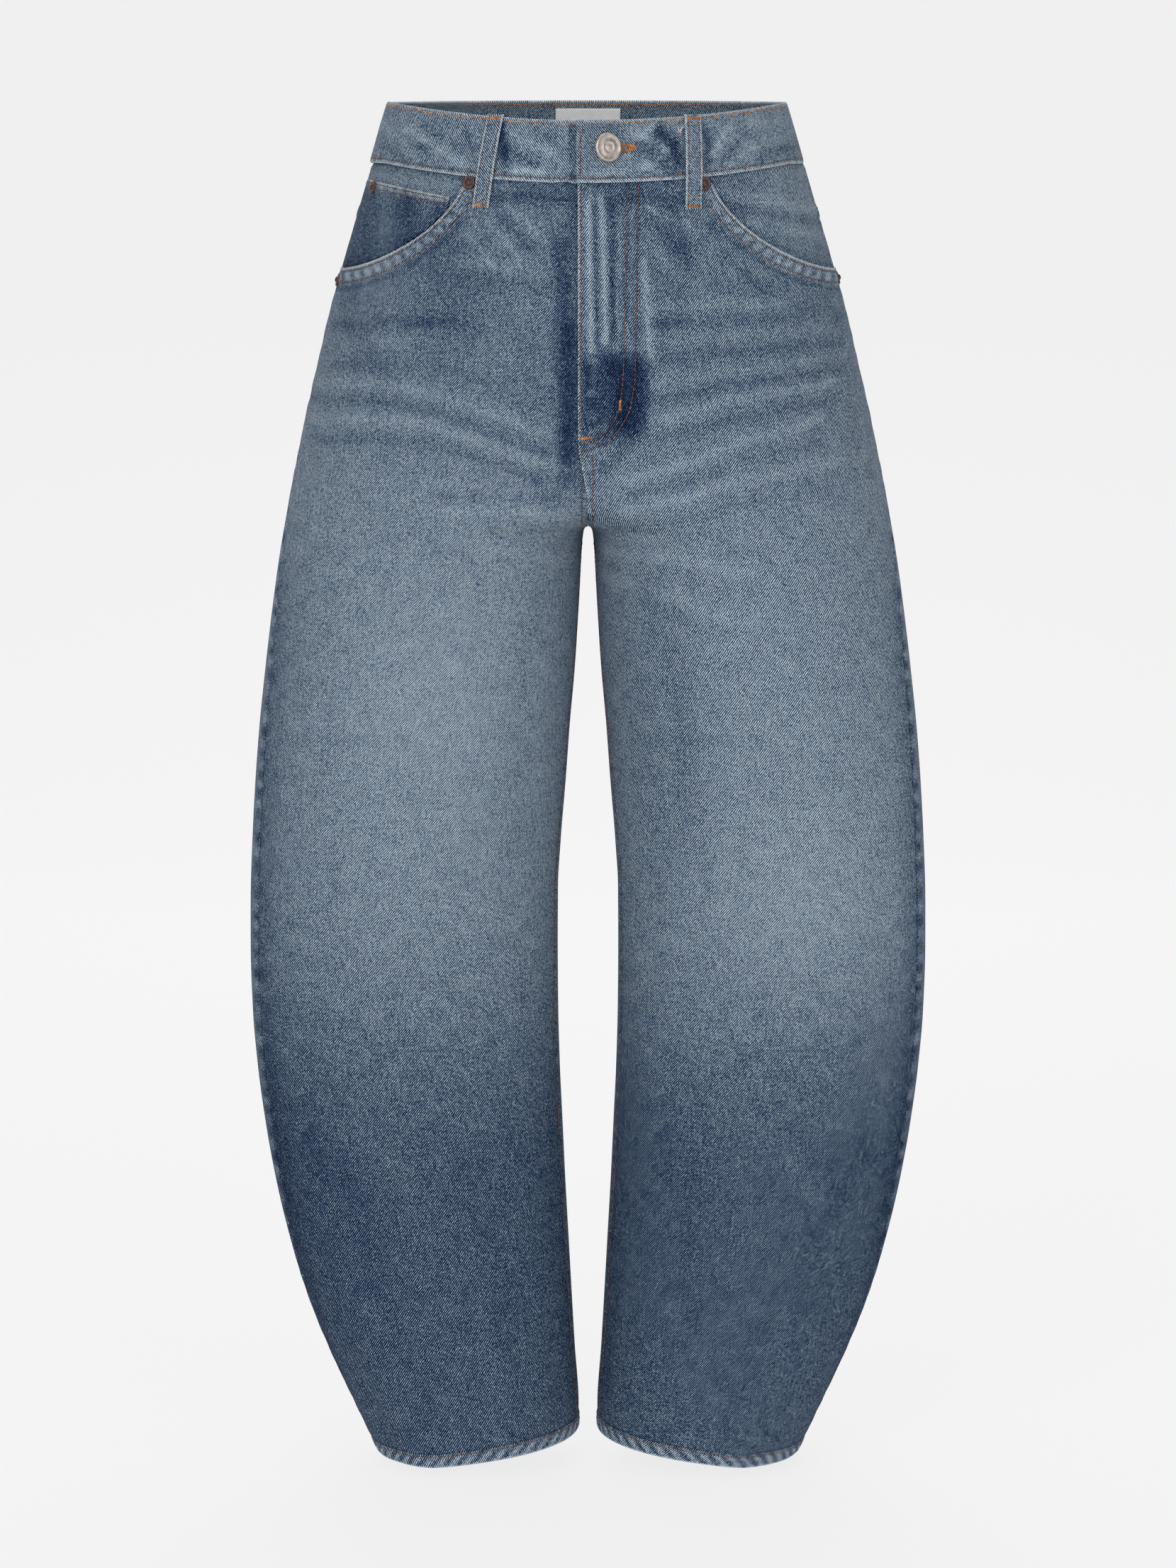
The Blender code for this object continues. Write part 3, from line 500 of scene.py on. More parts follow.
def front_look(half, arc, level, point):
    """Tone, rise and distance to a worn edge of a front panel's cloth at these places."""
    side = half.side
    x = point[..., 0]
    to_side = half.end(level) - arc
    to_inner = arc - fly_inner(side, level)
    tone, rise = streaks(FRONT_STREAKS, x, level)
    tone *= FRONT_TONE
    rise *= FRONT_RISE
    grooves, dips = streaks([(line, 2.2, -0.16, -0.35) for line in FLY_STITCHES], x, level)
    tone += leg_tone_at(level)
    leg = smooth(-level, 250, 380)
    across = (np.abs(x) - grain_at(level)) / 100
    # The legs darken towards their sides: partly real wear, partly painted shade where the legs turn away from
    # the lights.
    tone -= leg * (0.09 * across**2 + 0.12 * smooth(to_side, 28, 4))
    tone += 0.07 * bump(x, 158, 52) * bump(level, -566, 70) + 0.02 * bump(x, -130, 60) * bump(level, -575, 60)
    tone -= 0.07 * leg * bump(x, 55, 34) * bump(level, -450, 130)
    # The last term darkens the wearer's right leg towards its outer side: partly real wear, partly painted
    # shade.
    tone += 0.05 * bump(x, -105, 70) * bump(level, -420, 70) - 0.05 * leg * smooth(x, -140, -225)
    tone -= 0.04 * bump(x, -120, 90) * bump(level, -610, 70)
    # side seam: a pressed ridge with pucker marks
    marks = roping(level * 0.66, 1.0 + side)
    tone += bump(to_side, 0, 6.0) * (0.16 * marks - 0.06) + 0.14 * bump(to_side, 1.4, 1.1)
    rise += 0.5 * bump(to_side, 4, 3) * (0.8 + 0.4 * marks) - 0.7 * bump(to_side, 0, 1.6)
    # inseam, or the centre seam above the crotch
    below = smooth(-level, 285, 300)
    marks = roping(level, 4.0 + side)
    tone += below * bump(to_inner, 0, 7) * (0.09 * marks - 0.08)
    rise += below * (0.4 * bump(to_inner, 4, 3) * (0.8 + 0.4 * marks) - 0.6 * bump(to_inner, 0, 1.6))
    # crotch seam rows
    crotch = smooth(-level, 238, 246) * smooth(-level, 304, 296)
    rise += crotch * (0.5 * bump(x, 0, 3.4))
    tone += crotch * bump(x, 0, 5.0) * (-0.06 + 0.12 * roping(level * 1.5, 2.0))
    # hem and waist seams
    waist = band_foot(point) - level
    rise -= BAND_SINK * smooth(waist, 2.6, -0.6)
    # painted shadow of the waistband on the panel just below it
    tone -= 0.16 * smooth(waist, 7, 0)
    rise -= hem_sink(point, level)
    # pocket edge: turned under and stitched twice
    pocket = np.where(np.abs(x) > POCKET_X - POCKET_WIDTH - 30, pocket_distance(point), NO_RIM)
    beside = smooth(np.abs(x), 80, 88)
    edge = smooth(pocket, 13, 10) * beside
    puckers = np.sin(np.arctan2(POCKET_LEVEL - level, POCKET_X - np.abs(x) + 0.01) * 58)
    rise += edge * (0.7 + 0.14 * puckers) - edge * 0.35 * (bump(pocket, 2.2, 1.1) + bump(pocket, 9.6, 1.1))
    tone += edge * (0.12 + 0.26 * puckers * bump(pocket, 6, 3) + 0.16 * bump(pocket, 0, 1.6))
    tone -= edge * 0.16 * (bump(pocket, 2.4, 0.9) + bump(pocket, 9.6, 1.1))
    tone -= 0.14 * bump(pocket, 13.5, 2.4) * beside
    # fly
    if side == LEFT:
        flap = smooth(x, 37.5, 32.5) * smooth(-level, 243, 236)
        corner = smooth(np.hypot(np.maximum(x - 2, 0) / 32, np.maximum(-level - 196, 0) / 42), 1.12, 1.0)
        flap = flap * corner
        rise += flap * 0.55 + 0.8 * bump(to_inner, 0, 9) * smooth(-level, 275, 240)
        tone += grooves - 0.02 * flap
        rise += dips
        dark = smooth(x, -6, -2) * smooth(x, 46, 35) * smooth(-level, 168, 182) * smooth(-level, 240, 220)
        tone -= 0.36 * dark
        tone += 0.09 * bump(to_inner, 0.5, 2.4) * smooth(-level, 290, 250) * smooth(level, -175, -120)
    else:
        lapped = smooth(-level, 292, 250)
        rise -= lapped * (1.5 * smooth(to_inner, 9, 0) + 1.0 * smooth(to_inner, 0.3, -2.5))
        # darker beside the fly edge: painted shade under the lapping fly, partly the cloth's own colour
        tone -= lapped * 0.10 * smooth(to_inner, 16, 0)
    rim = np.minimum(pocket, to_inner if side == LEFT else NO_RIM)
    rim = np.where(level < -286, NO_RIM, rim)
    return tone, rise, rim


def placed(name, data):
    """A new object at the origin, linked to the scene."""
    thing = bpy.data.objects.new(name, data)
    bpy.context.scene.collection.objects.link(thing)
    return thing


def mesh_from(name, made):
    """A mesh of what a bmesh holds. The bmesh is freed."""
    mesh = bpy.data.meshes.new(name)
    made.to_mesh(mesh)
    made.free()
    return mesh


def cloth_sheet(name, points, place, tone, rim, thick, paints, seam_closed=False):
    """A thin cloth piece from rows of points, foot first, with its weave places, its tone (wear and painted
    shade) and its distance to a worn edge as attributes.
    """
    rows, columns = points.shape[:2]
    grid = bmesh.new()
    bmesh.ops.create_grid(grid, x_segments=columns - 1, y_segments=rows - 1, size=1.0)
    mesh = mesh_from(name, grid)
    mesh.vertices.foreach_set("co", (points * MM).astype(np.float32).ravel())
    corners = np.empty(len(mesh.loops), dtype=np.int32)
    mesh.loops.foreach_get("vertex_index", corners)
    uv = mesh.uv_layers.new(name="weave")
    uv.data.foreach_set("uv", place.reshape(-1, 2)[corners].astype(np.float32).ravel())
    for label, values in (("tone", tone), ("rim", rim)):
        layer = mesh.attributes.new(label, "FLOAT", "POINT")
        layer.data.foreach_set("value", np.broadcast_to(values, (rows, columns)).astype(np.float32).ravel())
    if seam_closed:
        joined = bmesh.new()
        joined.from_mesh(mesh)
        bmesh.ops.remove_doubles(joined, verts=joined.verts, dist=0.00002)
        joined.to_mesh(mesh)
        joined.free()
    for paint in paints:
        mesh.materials.append(paint)
    piece = placed(name, mesh)
    mesh.shade_smooth()
    wall = piece.modifiers.new("cloth", "SOLIDIFY")
    wall.thickness = thick * MM
    wall.offset = -1
    wall.material_offset = len(paints) - 1
    return piece


def turn_out(piece, normals):
    """Turns the faces over where they point against the outward directions of the rows of points."""
    mesh = piece.data
    rows, columns = normals.shape[:2]
    row, column = rows // 2, columns // 2
    middle = mesh.polygons[row * (columns - 1) + column]
    if middle.normal.dot(Vector(normals[row, column])) < 0:
        flipped = bmesh.new()
        flipped.from_mesh(mesh)
        bmesh.ops.reverse_faces(flipped, faces=flipped.faces)
        flipped.to_mesh(mesh)
        flipped.free()


def panel_places(half, arc, level):
    """Places on the cloth in millimetres, seen from outside: rightwards and up the grain."""
    outward = half.side if not half.back else -half.side
    return np.stack([outward * (arc - half.grain(level)), level], axis=-1)


PANEL_THICK = 1.2


def fasten(piece, normals, node):
    """Faces a cloth piece outwards, hides the CAD part of its node and fixes the piece to the garment."""
    turn_out(piece, normals)
    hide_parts(node)
    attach(piece, "root")


def make_sheet(node, half, arc, level, look, paints=None, thick=PANEL_THICK):
    """Builds the cloth piece of a node over a half of the body, with the look that a function gives it."""
    point = half.point(arc, level)
    normal = half.normal(arc, level)
    tone, rise, rim = look(half, arc, level, point)
    raised = point + normal * rise[..., None]
    places = panel_places(half, arc, level)
    paints = paints or [denim_face, denim_reverse]
    piece = cloth_sheet(f"{node}_cloth", raised, places, tone, rim, thick, paints)
    fasten(piece, normal, node)


# Denim: yarn-dyed twill, worn pale along lines. The colour runs from unworn indigo to bare weft.
def srgb(red, green, blue):
    """Linear colour of a screen colour."""
    made = []
    for value in (red, green, blue):
        share = value / 255
        made.append(share / 12.92 if share <= 0.04045 else ((share + 0.055) / 1.055) ** 2.4)
    return (*made, 1.0)


def math_node(tree, operation, a, b=0.0, clamp=False):
    node = tree.nodes.new("ShaderNodeMath")
    node.operation = operation
    node.use_clamp = clamp
    for socket, value in zip(node.inputs, (a, b)):
        if isinstance(value, (int, float)):
            socket.default_value = value
        else:
            tree.links.new(value, socket)
    return node.outputs[0]


def noise_node(tree, place, scale, detail, rough=0.5):
    node = tree.nodes.new("ShaderNodeTexNoise")
    node.inputs["Scale"].default_value = scale
    node.inputs["Detail"].default_value = detail
    node.inputs["Roughness"].default_value = rough
    tree.links.new(place, node.inputs["Vector"])
    return node.outputs["Fac"]


def joined_node(tree, x, y, z=0.0):
    node = tree.nodes.new("ShaderNodeCombineXYZ")
    for socket, value in zip(node.inputs, (x, y, z)):
        if isinstance(value, (int, float)):
            socket.default_value = value
        else:
            tree.links.new(value, socket)
    return node.outputs[0]


def ramp_node(tree, value, stops):
    node = tree.nodes.new("ShaderNodeValToRGB")
    ramp = node.color_ramp
    while len(ramp.elements) < len(stops):
        ramp.elements.new(0.5)
    for element, (place, colour) in zip(ramp.elements, stops):
        element.position = place
        element.color = srgb(*colour)
    tree.links.new(value, node.inputs[0])
    return node.outputs[0]


def arithmetic(tree):
    """Functions that make sum, difference and product nodes in a tree."""
    return [lambda a, b, kind=kind: math_node(tree, kind, a, b) for kind in ("ADD", "SUBTRACT", "MULTIPLY")]


def blank_paint(name):
    """A new material, with its node tree and its shader."""
    made = bpy.data.materials.new(name)
    made.use_nodes = True
    return made, made.node_tree, made.node_tree.nodes["Principled BSDF"]


def add_relief(tree, shader, height, distance, strength=1.0):
    """Lets a height in the node tree shade the surface as fine relief, of this many metres."""
    node = tree.nodes.new("ShaderNodeBump")
    node.inputs["Distance"].default_value = distance
    node.inputs["Strength"].default_value = strength
    tree.links.new(height, node.inputs["Height"])
    tree.links.new(node.outputs[0], shader.inputs["Normal"])


TWILL_PITCH = 1.25
TWILL_ANGLE = math.radians(50)
INDIGO = (
    (0.0, (8, 19, 44)), (0.25, (37, 59, 91)), (0.5, (82, 107, 131)), (0.75, (138, 156, 168)),
    (1.0, (192, 204, 210)),
)


def make_twill():
    """Node group for the weave: tone in, colour, roughness and height out."""
    tree = bpy.data.node_groups.new("worn_twill", "ShaderNodeTree")
    face = tree.interface
    face.new_socket("Place", in_out="INPUT", socket_type="NodeSocketVector")
    plain = {"Tone": 0.5, "Rim": NO_RIM, "Slant": 1.0, "Contrast": 0.8, "Edge wear": 0.22}
    for label, value in plain.items():
        face.new_socket(label, in_out="INPUT", socket_type="NodeSocketFloat").default_value = value
    face.new_socket("Color", in_out="OUTPUT", socket_type="NodeSocketColor")
    face.new_socket("Roughness", in_out="OUTPUT", socket_type="NodeSocketFloat")
    face.new_socket("Height", in_out="OUTPUT", socket_type="NodeSocketFloat")
    given = tree.nodes.new("NodeGroupInput").outputs
    result = tree.nodes.new("NodeGroupOutput").inputs
    place = given["Place"]
    split = tree.nodes.new("ShaderNodeSeparateXYZ")
    tree.links.new(place, split.inputs[0])
    u, v = split.outputs[0], split.outputs[1]
    add, less, times = arithmetic(tree)
    rise, reach = math.sin(TWILL_ANGLE) / TWILL_PITCH, math.cos(TWILL_ANGLE) / TWILL_PITCH
    leaning = times(u, given["Slant"])
    across = less(times(v, reach), times(leaning, rise))
    along = add(times(v, rise), times(leaning, reach))
    waver = times(less(noise_node(tree, place, 0.22, 2), 0.5), 0.8)
    wave = math_node(tree, "SINE", times(add(across, waver), 2 * math.pi))
    flecks = noise_node(tree, joined_node(tree, times(across, 1.9), times(along, 0.7)), 1.0, 2, 0.6)
    grains = noise_node(tree, place, 1.7, 1)
    slubs = noise_node(tree, joined_node(tree, times(u, 1.05), times(v, 0.075)), 1.0, 2, 0.6)
    mottle = noise_node(tree, place, 0.42, 3, 0.65)
    clouds = noise_node(tree, place, 0.075, 4, 0.62)
    tone = add(given["Tone"], times(wave, times(given["Contrast"], 0.62)))
    for part, share in ((flecks, 2.1), (grains, 1.1)):
        tone = add(tone, times(times(less(part, 0.5), given["Contrast"]), share))
    for part, share in ((slubs, 0.46), (mottle, 0.85), (clouds, 0.36)):
        tone = add(tone, times(less(part, 0.5), share))
    # pale worn edges, their inner limit uneven
    limit = times(less(noise_node(tree, place, 0.5, 3), 0.42), 5.0)
    near = math_node(tree, "SUBTRACT", 1.3, less(given["Rim"], limit), clamp=True)
    tone = add(tone, times(near, given["Edge wear"]))
    tree.links.new(ramp_node(tree, tone, INDIGO), result["Color"])
    tree.links.new(add(0.82, times(flecks, 0.14)), result["Roughness"])
    height = add(times(wave, 0.35), times(flecks, 1.2))
    tree.links.new(add(height, times(slubs, 0.5)), result["Height"])
    return tree


twill = make_twill()


def denim(name, slant=1.0, contrast=0.8, edge_wear=0.3, lift=0.0, grey=0.0):
    """A denim material over the twill group. lift pales it, as on the cloth's reverse."""
    made, tree, shader = blank_paint(name)
    weave = tree.nodes.new("ShaderNodeGroup")
    weave.node_tree = twill
    place = tree.nodes.new("ShaderNodeUVMap")
    place.uv_map = "weave"
    tree.links.new(place.outputs[0], weave.inputs["Place"])
    for label in ("tone", "rim"):
        reader = tree.nodes.new("ShaderNodeAttribute")
        reader.attribute_name = label
        value = reader.outputs["Fac"]
        if label == "tone" and lift:
            value = math_node(tree, "ADD", value, lift)
        tree.links.new(value, weave.inputs[label.capitalize()])
    weave.inputs["Slant"].default_value = slant
    weave.inputs["Contrast"].default_value = contrast
    weave.inputs["Edge wear"].default_value = edge_wear
    colour = weave.outputs["Color"]
    if grey:
        fade = tree.nodes.new("ShaderNodeHueSaturation")
        fade.inputs["Saturation"].default_value = 1 - grey
        tree.links.new(colour, fade.inputs["Color"])
        colour = fade.outputs[0]
    tree.links.new(colour, shader.inputs["Base Color"])
    tree.links.new(weave.outputs["Roughness"], shader.inputs["Roughness"])
    add_relief(tree, shader, weave.outputs["Height"], 0.00022, 0.7)
    shader.inputs["Specular IOR Level"].default_value = 0.1
    made.diffuse_color = srgb(98, 117, 136)
    return made


denim_face = denim("denim_face")
denim_reverse = denim("denim_reverse", slant=-1.0, contrast=0.4, lift=0.1, grey=0.35)


def shares(*stretches):
    """Column places from stretches of (end, count), starting at 0."""
    places = [0.0]
    for end, count in stretches:
        start = places[-1]
        for i in range(1, count + 1):
            places.append(start + (end - start) * i / count)
    return np.array(places)


def panel_rows(top, first, foot):
    """Levels of a panel from its foot to its own top edge, for each column."""
    fixed = np.concatenate(
        [np.arange(-935, -312, 3.4), np.arange(-312, -268, 1.6), np.arange(-268, first - 1.5, 3.2), [first]]
    )
    rows = []
    for i in range(9):
        rows.append(foot + (fixed[0] - foot) * i / 9)
    rows += [np.full_like(top, level) for level in fixed]
    count = 30
    for i in range(1, count + 1):
        rows.append(first + (top - first) * i / count)
    return np.array(rows)


def make_front(node, side):
    half = halves[side, False]
    share = shares((0.008, 3), (0.04, 5), (0.9, 74), (0.98, 10), (1.0, 6))

    def arc_rule(level):
        inner = fly_inner(side, level)
        return inner + share * (half.end(level) - inner)

    top = half.level_on(arc_rule, front_top, np.full(share.shape, -60.0))
    foot = half.level_on(arc_rule, hem_seam, np.full(share.shape, -960.0))
    level = panel_rows(top, -140.0, foot)
    arc = np.array([arc_rule(row) for row in level])
    if side == RIGHT:
        # a tongue that runs on under the fly
        tuck = np.linspace(FLY_TUCK, 1.0, 5) * (1 - smooth(-level[:, :1], 240, 284))
        arc = np.concatenate([arc[:, :1] - tuck, arc], axis=1)
        level = np.concatenate([np.repeat(level[:, :1], 5, axis=1), level], axis=1)
    make_sheet(node, half, arc, level, front_look)


make_front("front_right", RIGHT)
make_front("front_left", LEFT)

# Stitching of the fronts
# Brown topstitching follows the fly, the pocket edges, the crotch seam and the inseams, and thicker orange
# bar tacks close the fly. Every stitch lies in the cloth it was sewn through.
STITCH_PITCH = 3.3
STITCH_LENGTH = 3.1
STITCH_WIDTH = 0.9
STITCH_BATCH = 10
THREAD_LIFT = 0.1


def sew(threads, path, out, pitch=STITCH_PITCH, length=STITCH_LENGTH, width=STITCH_WIDTH, cross=False):
    """Lays one row of stitches along a path in millimetres. cross turns each one across the row."""
    run = run_along(path)
    strip = bpy.data.meshes.new("strip")
    batch = bmesh.new()
    count = int(run[-1] / pitch)
    for i in range(count):
        here = (i + 0.5) * pitch
        spots = []
        for place in (here, here - pitch / 3, here + pitch / 3):
            spots.append(Vector([np.interp(place, run, path[:, k]) for k in range(3)]))
        up = Vector([np.interp(here, run, out[:, k]) for k in range(3)]).normalized()
        way = (spots[2] - spots[1]).normalized()
        aside = up.cross(way).normalized()
        if cross:
            way, aside = aside, -way
        up = way.cross(aside)
        turn = Matrix((aside, up, way)).transposed().to_4x4()
        size = Matrix.Diagonal((width / 2, width / 2 * 0.8, length / 2, 1))
        matrix = Matrix.Scale(MM, 4) @ Matrix.Translation(spots[0]) @ turn @ size
        bmesh.ops.create_uvsphere(batch, u_segments=6, v_segments=4, radius=1.0, matrix=matrix)
        if i % STITCH_BATCH == STITCH_BATCH - 1 or i == count - 1:
            batch.to_mesh(strip)
            threads.from_mesh(strip)
            batch.clear()
    batch.free()
    bpy.data.meshes.remove(strip)


def thread_paint(name, colour):
    """Cotton thread: its colour faded unevenly along the row."""
    made, tree, shader = blank_paint(name)
    place = tree.nodes.new("ShaderNodeTexCoord").outputs["Object"]
    worn = noise_node(tree, place, 260, 2)
    pale = [min(255, value * 1.25 + 18) for value in colour]
    deep = [value * 0.62 for value in colour]
    stops = ((0.3, deep), (0.5, colour), (0.72, pale))
    tree.links.new(ramp_node(tree, worn, stops), shader.inputs["Base Color"])
    add_relief(tree, shader, noise_node(tree, place, 2200, 1), 0.0001)
    add, _, times = arithmetic(tree)
    tree.links.new(add(times(worn, 0.2), 0.55), shader.inputs["Roughness"])
    made.diffuse_color = srgb(*colour)
    return made


brown_thread = thread_paint("brown_thread", (94, 60, 46))
orange_thread = thread_paint("orange_thread", (164, 102, 44))


def thread_piece(name, threads, paint):
    """Finishes a piece of stitching and fixes it to the garment."""
    mesh = mesh_from(name, threads)
    mesh.shade_smooth()
    mesh.materials.append(paint)
    piece = placed(name, mesh)
    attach(piece, "root")


def dense(line, step=1.5, soften=7):
    """A line of places with even small steps and rounded corners."""
    line = np.array(line, dtype=float)
    run = run_along(line)
    places = np.linspace(0, run[-1], max(int(run[-1] / step), 2) + 1)
    out = np.stack([np.interp(places, run, line[:, k]) for k in range(line.shape[1])], axis=1)
    if soften and len(out) > soften * 2:
        padded = np.pad(out, ((soften // 2, soften // 2), (0, 0)), mode="reflect", reflect_type="odd")
        kernel = np.ones(soften) / soften
        out = np.stack([np.convolve(padded[:, k], kernel, mode="valid") for k in range(out.shape[1])], axis=1)
    return out


def lifted(half, arc, level, rise, lift=THREAD_LIFT):
    """Path just over cloth that stands this far out from the body, with its outward directions."""
    out = half.normal(arc, level)
    return half.point(arc, level) + out * np.reshape(rise + lift, (-1, 1)), out


def seated(half, look, arc, level):
    """Path just over a cloth piece with this look."""
    return lifted(half, arc, level, look(half, arc, level, half.point(arc, level))[1])


def on_front(side, line, soften=7):
    """Path on a front panel through places given by x and level."""
    places = dense(line, soften=soften)
    half = halves[side, False]
    arc = half.arc_at_x(places[:, 0], places[:, 1])
    return seated(half, front_look, arc, places[:, 1])


def pocket_line(side, out):
    """Line a little outside the pocket's curve."""
    share = np.linspace(0.0, 1.0, 90)
    depth = POCKET_DEPTH * (1 - share**POCKET_ROUND) ** (1 / POCKET_ROUND)
    spoke = np.stack([-POCKET_WIDTH * share, -depth], axis=1)
    spoke += spoke / np.linalg.norm(spoke, axis=1, keepdims=True) * out
    line = np.stack([POCKET_X + spoke[:, 0], POCKET_LEVEL + spoke[:, 1]], axis=1)
    line = line[line[:, 1] < band_foot(np.stack([line[:, 0], -line[:, 0], line[:, 1]], axis=1)) - 1.5]
    line[:, 0] *= side
    return line


front_threads = bmesh.new()
for line in (*FLY_STITCHES, ((-4.9, -58), (-4.9, -230), (-4.2, -296)), ((3.4, -243), (3.6, -297))):
    sew(front_threads, *on_front(LEFT, line))
for side in (RIGHT, LEFT):
    for out in (2.2, 9.6):
        sew(front_threads, *on_front(side, pocket_line(side, out), soften=0))
    levels = np.arange(-312, -956, -2.0)
    sew(front_threads, *seated(halves[side, False], front_look, np.full(levels.shape, 2.4), levels))
thread_piece("front_stitching", front_threads, brown_thread)

fly_tacks = bmesh.new()
for line in (((22.2, -205.0), (22.2, -212.6)), ((-5.0, -231.6), (3.2, -231.2))):
    path, out = on_front(LEFT, line, soften=0)
    sew(fly_tacks, path, out, pitch=0.72, length=2.2, width=0.8, cross=True)
thread_piece("fly_bar_tacks", fly_tacks, orange_thread)

# Pocket facings
# Each front pocket opening shows a denim facing, sewn behind the panel and into the waistband.
FACING_SUNK = -2.2
FACING_UNDER = 10
denim_shaded = denim("denim_shaded", edge_wear=0.2)


def facing_foot(point):
    inside = np.abs(point[..., 0]) > POCKET_X - POCKET_WIDTH - FACING_UNDER
    level = pocket_level(point, POCKET_WIDTH + FACING_UNDER, POCKET_DEPTH + FACING_UNDER)
    return np.where(inside, level, band_foot(point) - FACING_UNDER)


def waist_seam(point):
    return band_foot(point) + UNDER_BAND


def facing_look(half, arc, level, point):
    side = half.side
    x = point[..., 0]
    tone = np.full(x.shape, 0.34 if side == RIGHT else 0.42)
    if side == LEFT:
        fan = level + 62 + 0.18 * (x - 90)
        for middle, width, tone_shift in ((0, 4, 0.13), (-9, 4, -0.10), (-17, 4, 0.07), (-32, 9, -0.06)):
            tone += tone_shift * bump(fan, middle, width)
        tone -= 0.10 * smooth(x, 128, 104) + 0.04 * smooth(x, 150, 172)
    # darker next to the panel's pocket edge: painted shade under the raised edge
    tone -= 0.12 * smooth(pocket_distance(point), -9, -1)
    rise = FACING_SUNK + 0.15 * np.sin(x * 0.11 + level * 0.07)
    waist = band_foot(point) - level
    rise += 2.2 * smooth(half.end(level) - arc, 9, 1) - 0.8 * smooth(waist, 2.6, -0.6)
    tone += 0.10 * bump(waist, 9, 5) * (side == RIGHT)
    return tone, rise, NO_RIM


def patch_rows(half, arc_rule, share, top_rule, foot_rule, rows, start):
    """Arcs and levels of a patch between a top and a foot edge, searched for from a level near both."""
    top = half.level_on(arc_rule, top_rule, np.full(share.shape, start + 8.0))
    foot = half.level_on(arc_rule, foot_rule, np.full(share.shape, start - 8.0))
    level = np.linspace(foot, top, rows)
    return np.array([arc_rule(row) for row in level]), level


for side, word in ((RIGHT, "right"), (LEFT, "left")):
    half = halves[side, False]
    first = float(half.arc_at_x(np.array([80.0 * side]), np.array([-52.0]))[0])
    first_share = first / float(half.end(np.array([-52.0]))[0])
    share = np.linspace(first_share, 1.0, 46)
    arc, level = patch_rows(half, lambda z: share * half.end(z), share, waist_seam, facing_foot, 30, -60.0)
    paints = [denim_shaded, denim_reverse]
    make_sheet(f"facing_{word}", half, arc, level, facing_look, paints, 1.0)

# Coin pocket
# A small denim patch on the wearer's right facing, with a slanting turned top edge sewn down twice.
COIN_TOP_X = 96.0
COIN_TOP_LEVEL = -66.2
COIN_TOP_SLOPE = 0.19
COIN_OUT = -0.5


def coin_top(point):
    return COIN_TOP_LEVEL + COIN_TOP_SLOPE * (np.abs(point[..., 0]) - COIN_TOP_X)


def coin_foot(point):
    inside = np.abs(point[..., 0]) > POCKET_X - POCKET_WIDTH
    return np.where(inside, np.minimum(pocket_level(point) + 1.8, coin_top(point) - 2), coin_top(point) - 2)


def coin_look(half, arc, level, point):
    x = point[..., 0]
    down = coin_top(point) - level
    tone = 0.08 + 0.10 * bump(x, -112, 10) + 0.16 * bump(x, -142, 9) - 0.06 * bump(x, -126, 6)
    tone += smooth(down, 7, 3) * (0.36 + 0.14 * np.sin(x * 0.9))
    # darker next to the panel's pocket edge: painted shade under the raised edge
    tone -= 0.06 * smooth(pocket_distance(point), -12, -2)
    rise = COIN_OUT + 0.25 * smooth(down, 7, 4) - 0.2 * bump(down, 5.2, 1.1) - 0.5 * bump(down, 0, 0.8)
    rise += 0.6 * smooth(half.end(level) - arc, 9, 3)
    return tone, rise, down


half = halves[RIGHT, False]
first = float(half.arc_at_x(np.array([-COIN_TOP_X]), np.array([COIN_TOP_LEVEL]))[0])
coin_first = first / float(half.end(np.array([COIN_TOP_LEVEL]))[0])
share = np.linspace(coin_first, 0.985, 44)
arc, level = patch_rows(half, lambda z: share * half.end(z), share, coin_top, coin_foot, 26, -70.0)
make_sheet("coin_pocket", half, arc, level, coin_look, thick=0.9)
coin_threads = bmesh.new()
for down in (2.0, 5.2):
    xs = np.arange(-99, -157, -1.5)
    levels = coin_top(np.stack([xs, xs, xs], axis=1)) - down
    sew(coin_threads, *seated(half, coin_look, half.arc_at_x(xs, levels), levels))
thread_piece("coin_stitching", coin_threads, brown_thread)

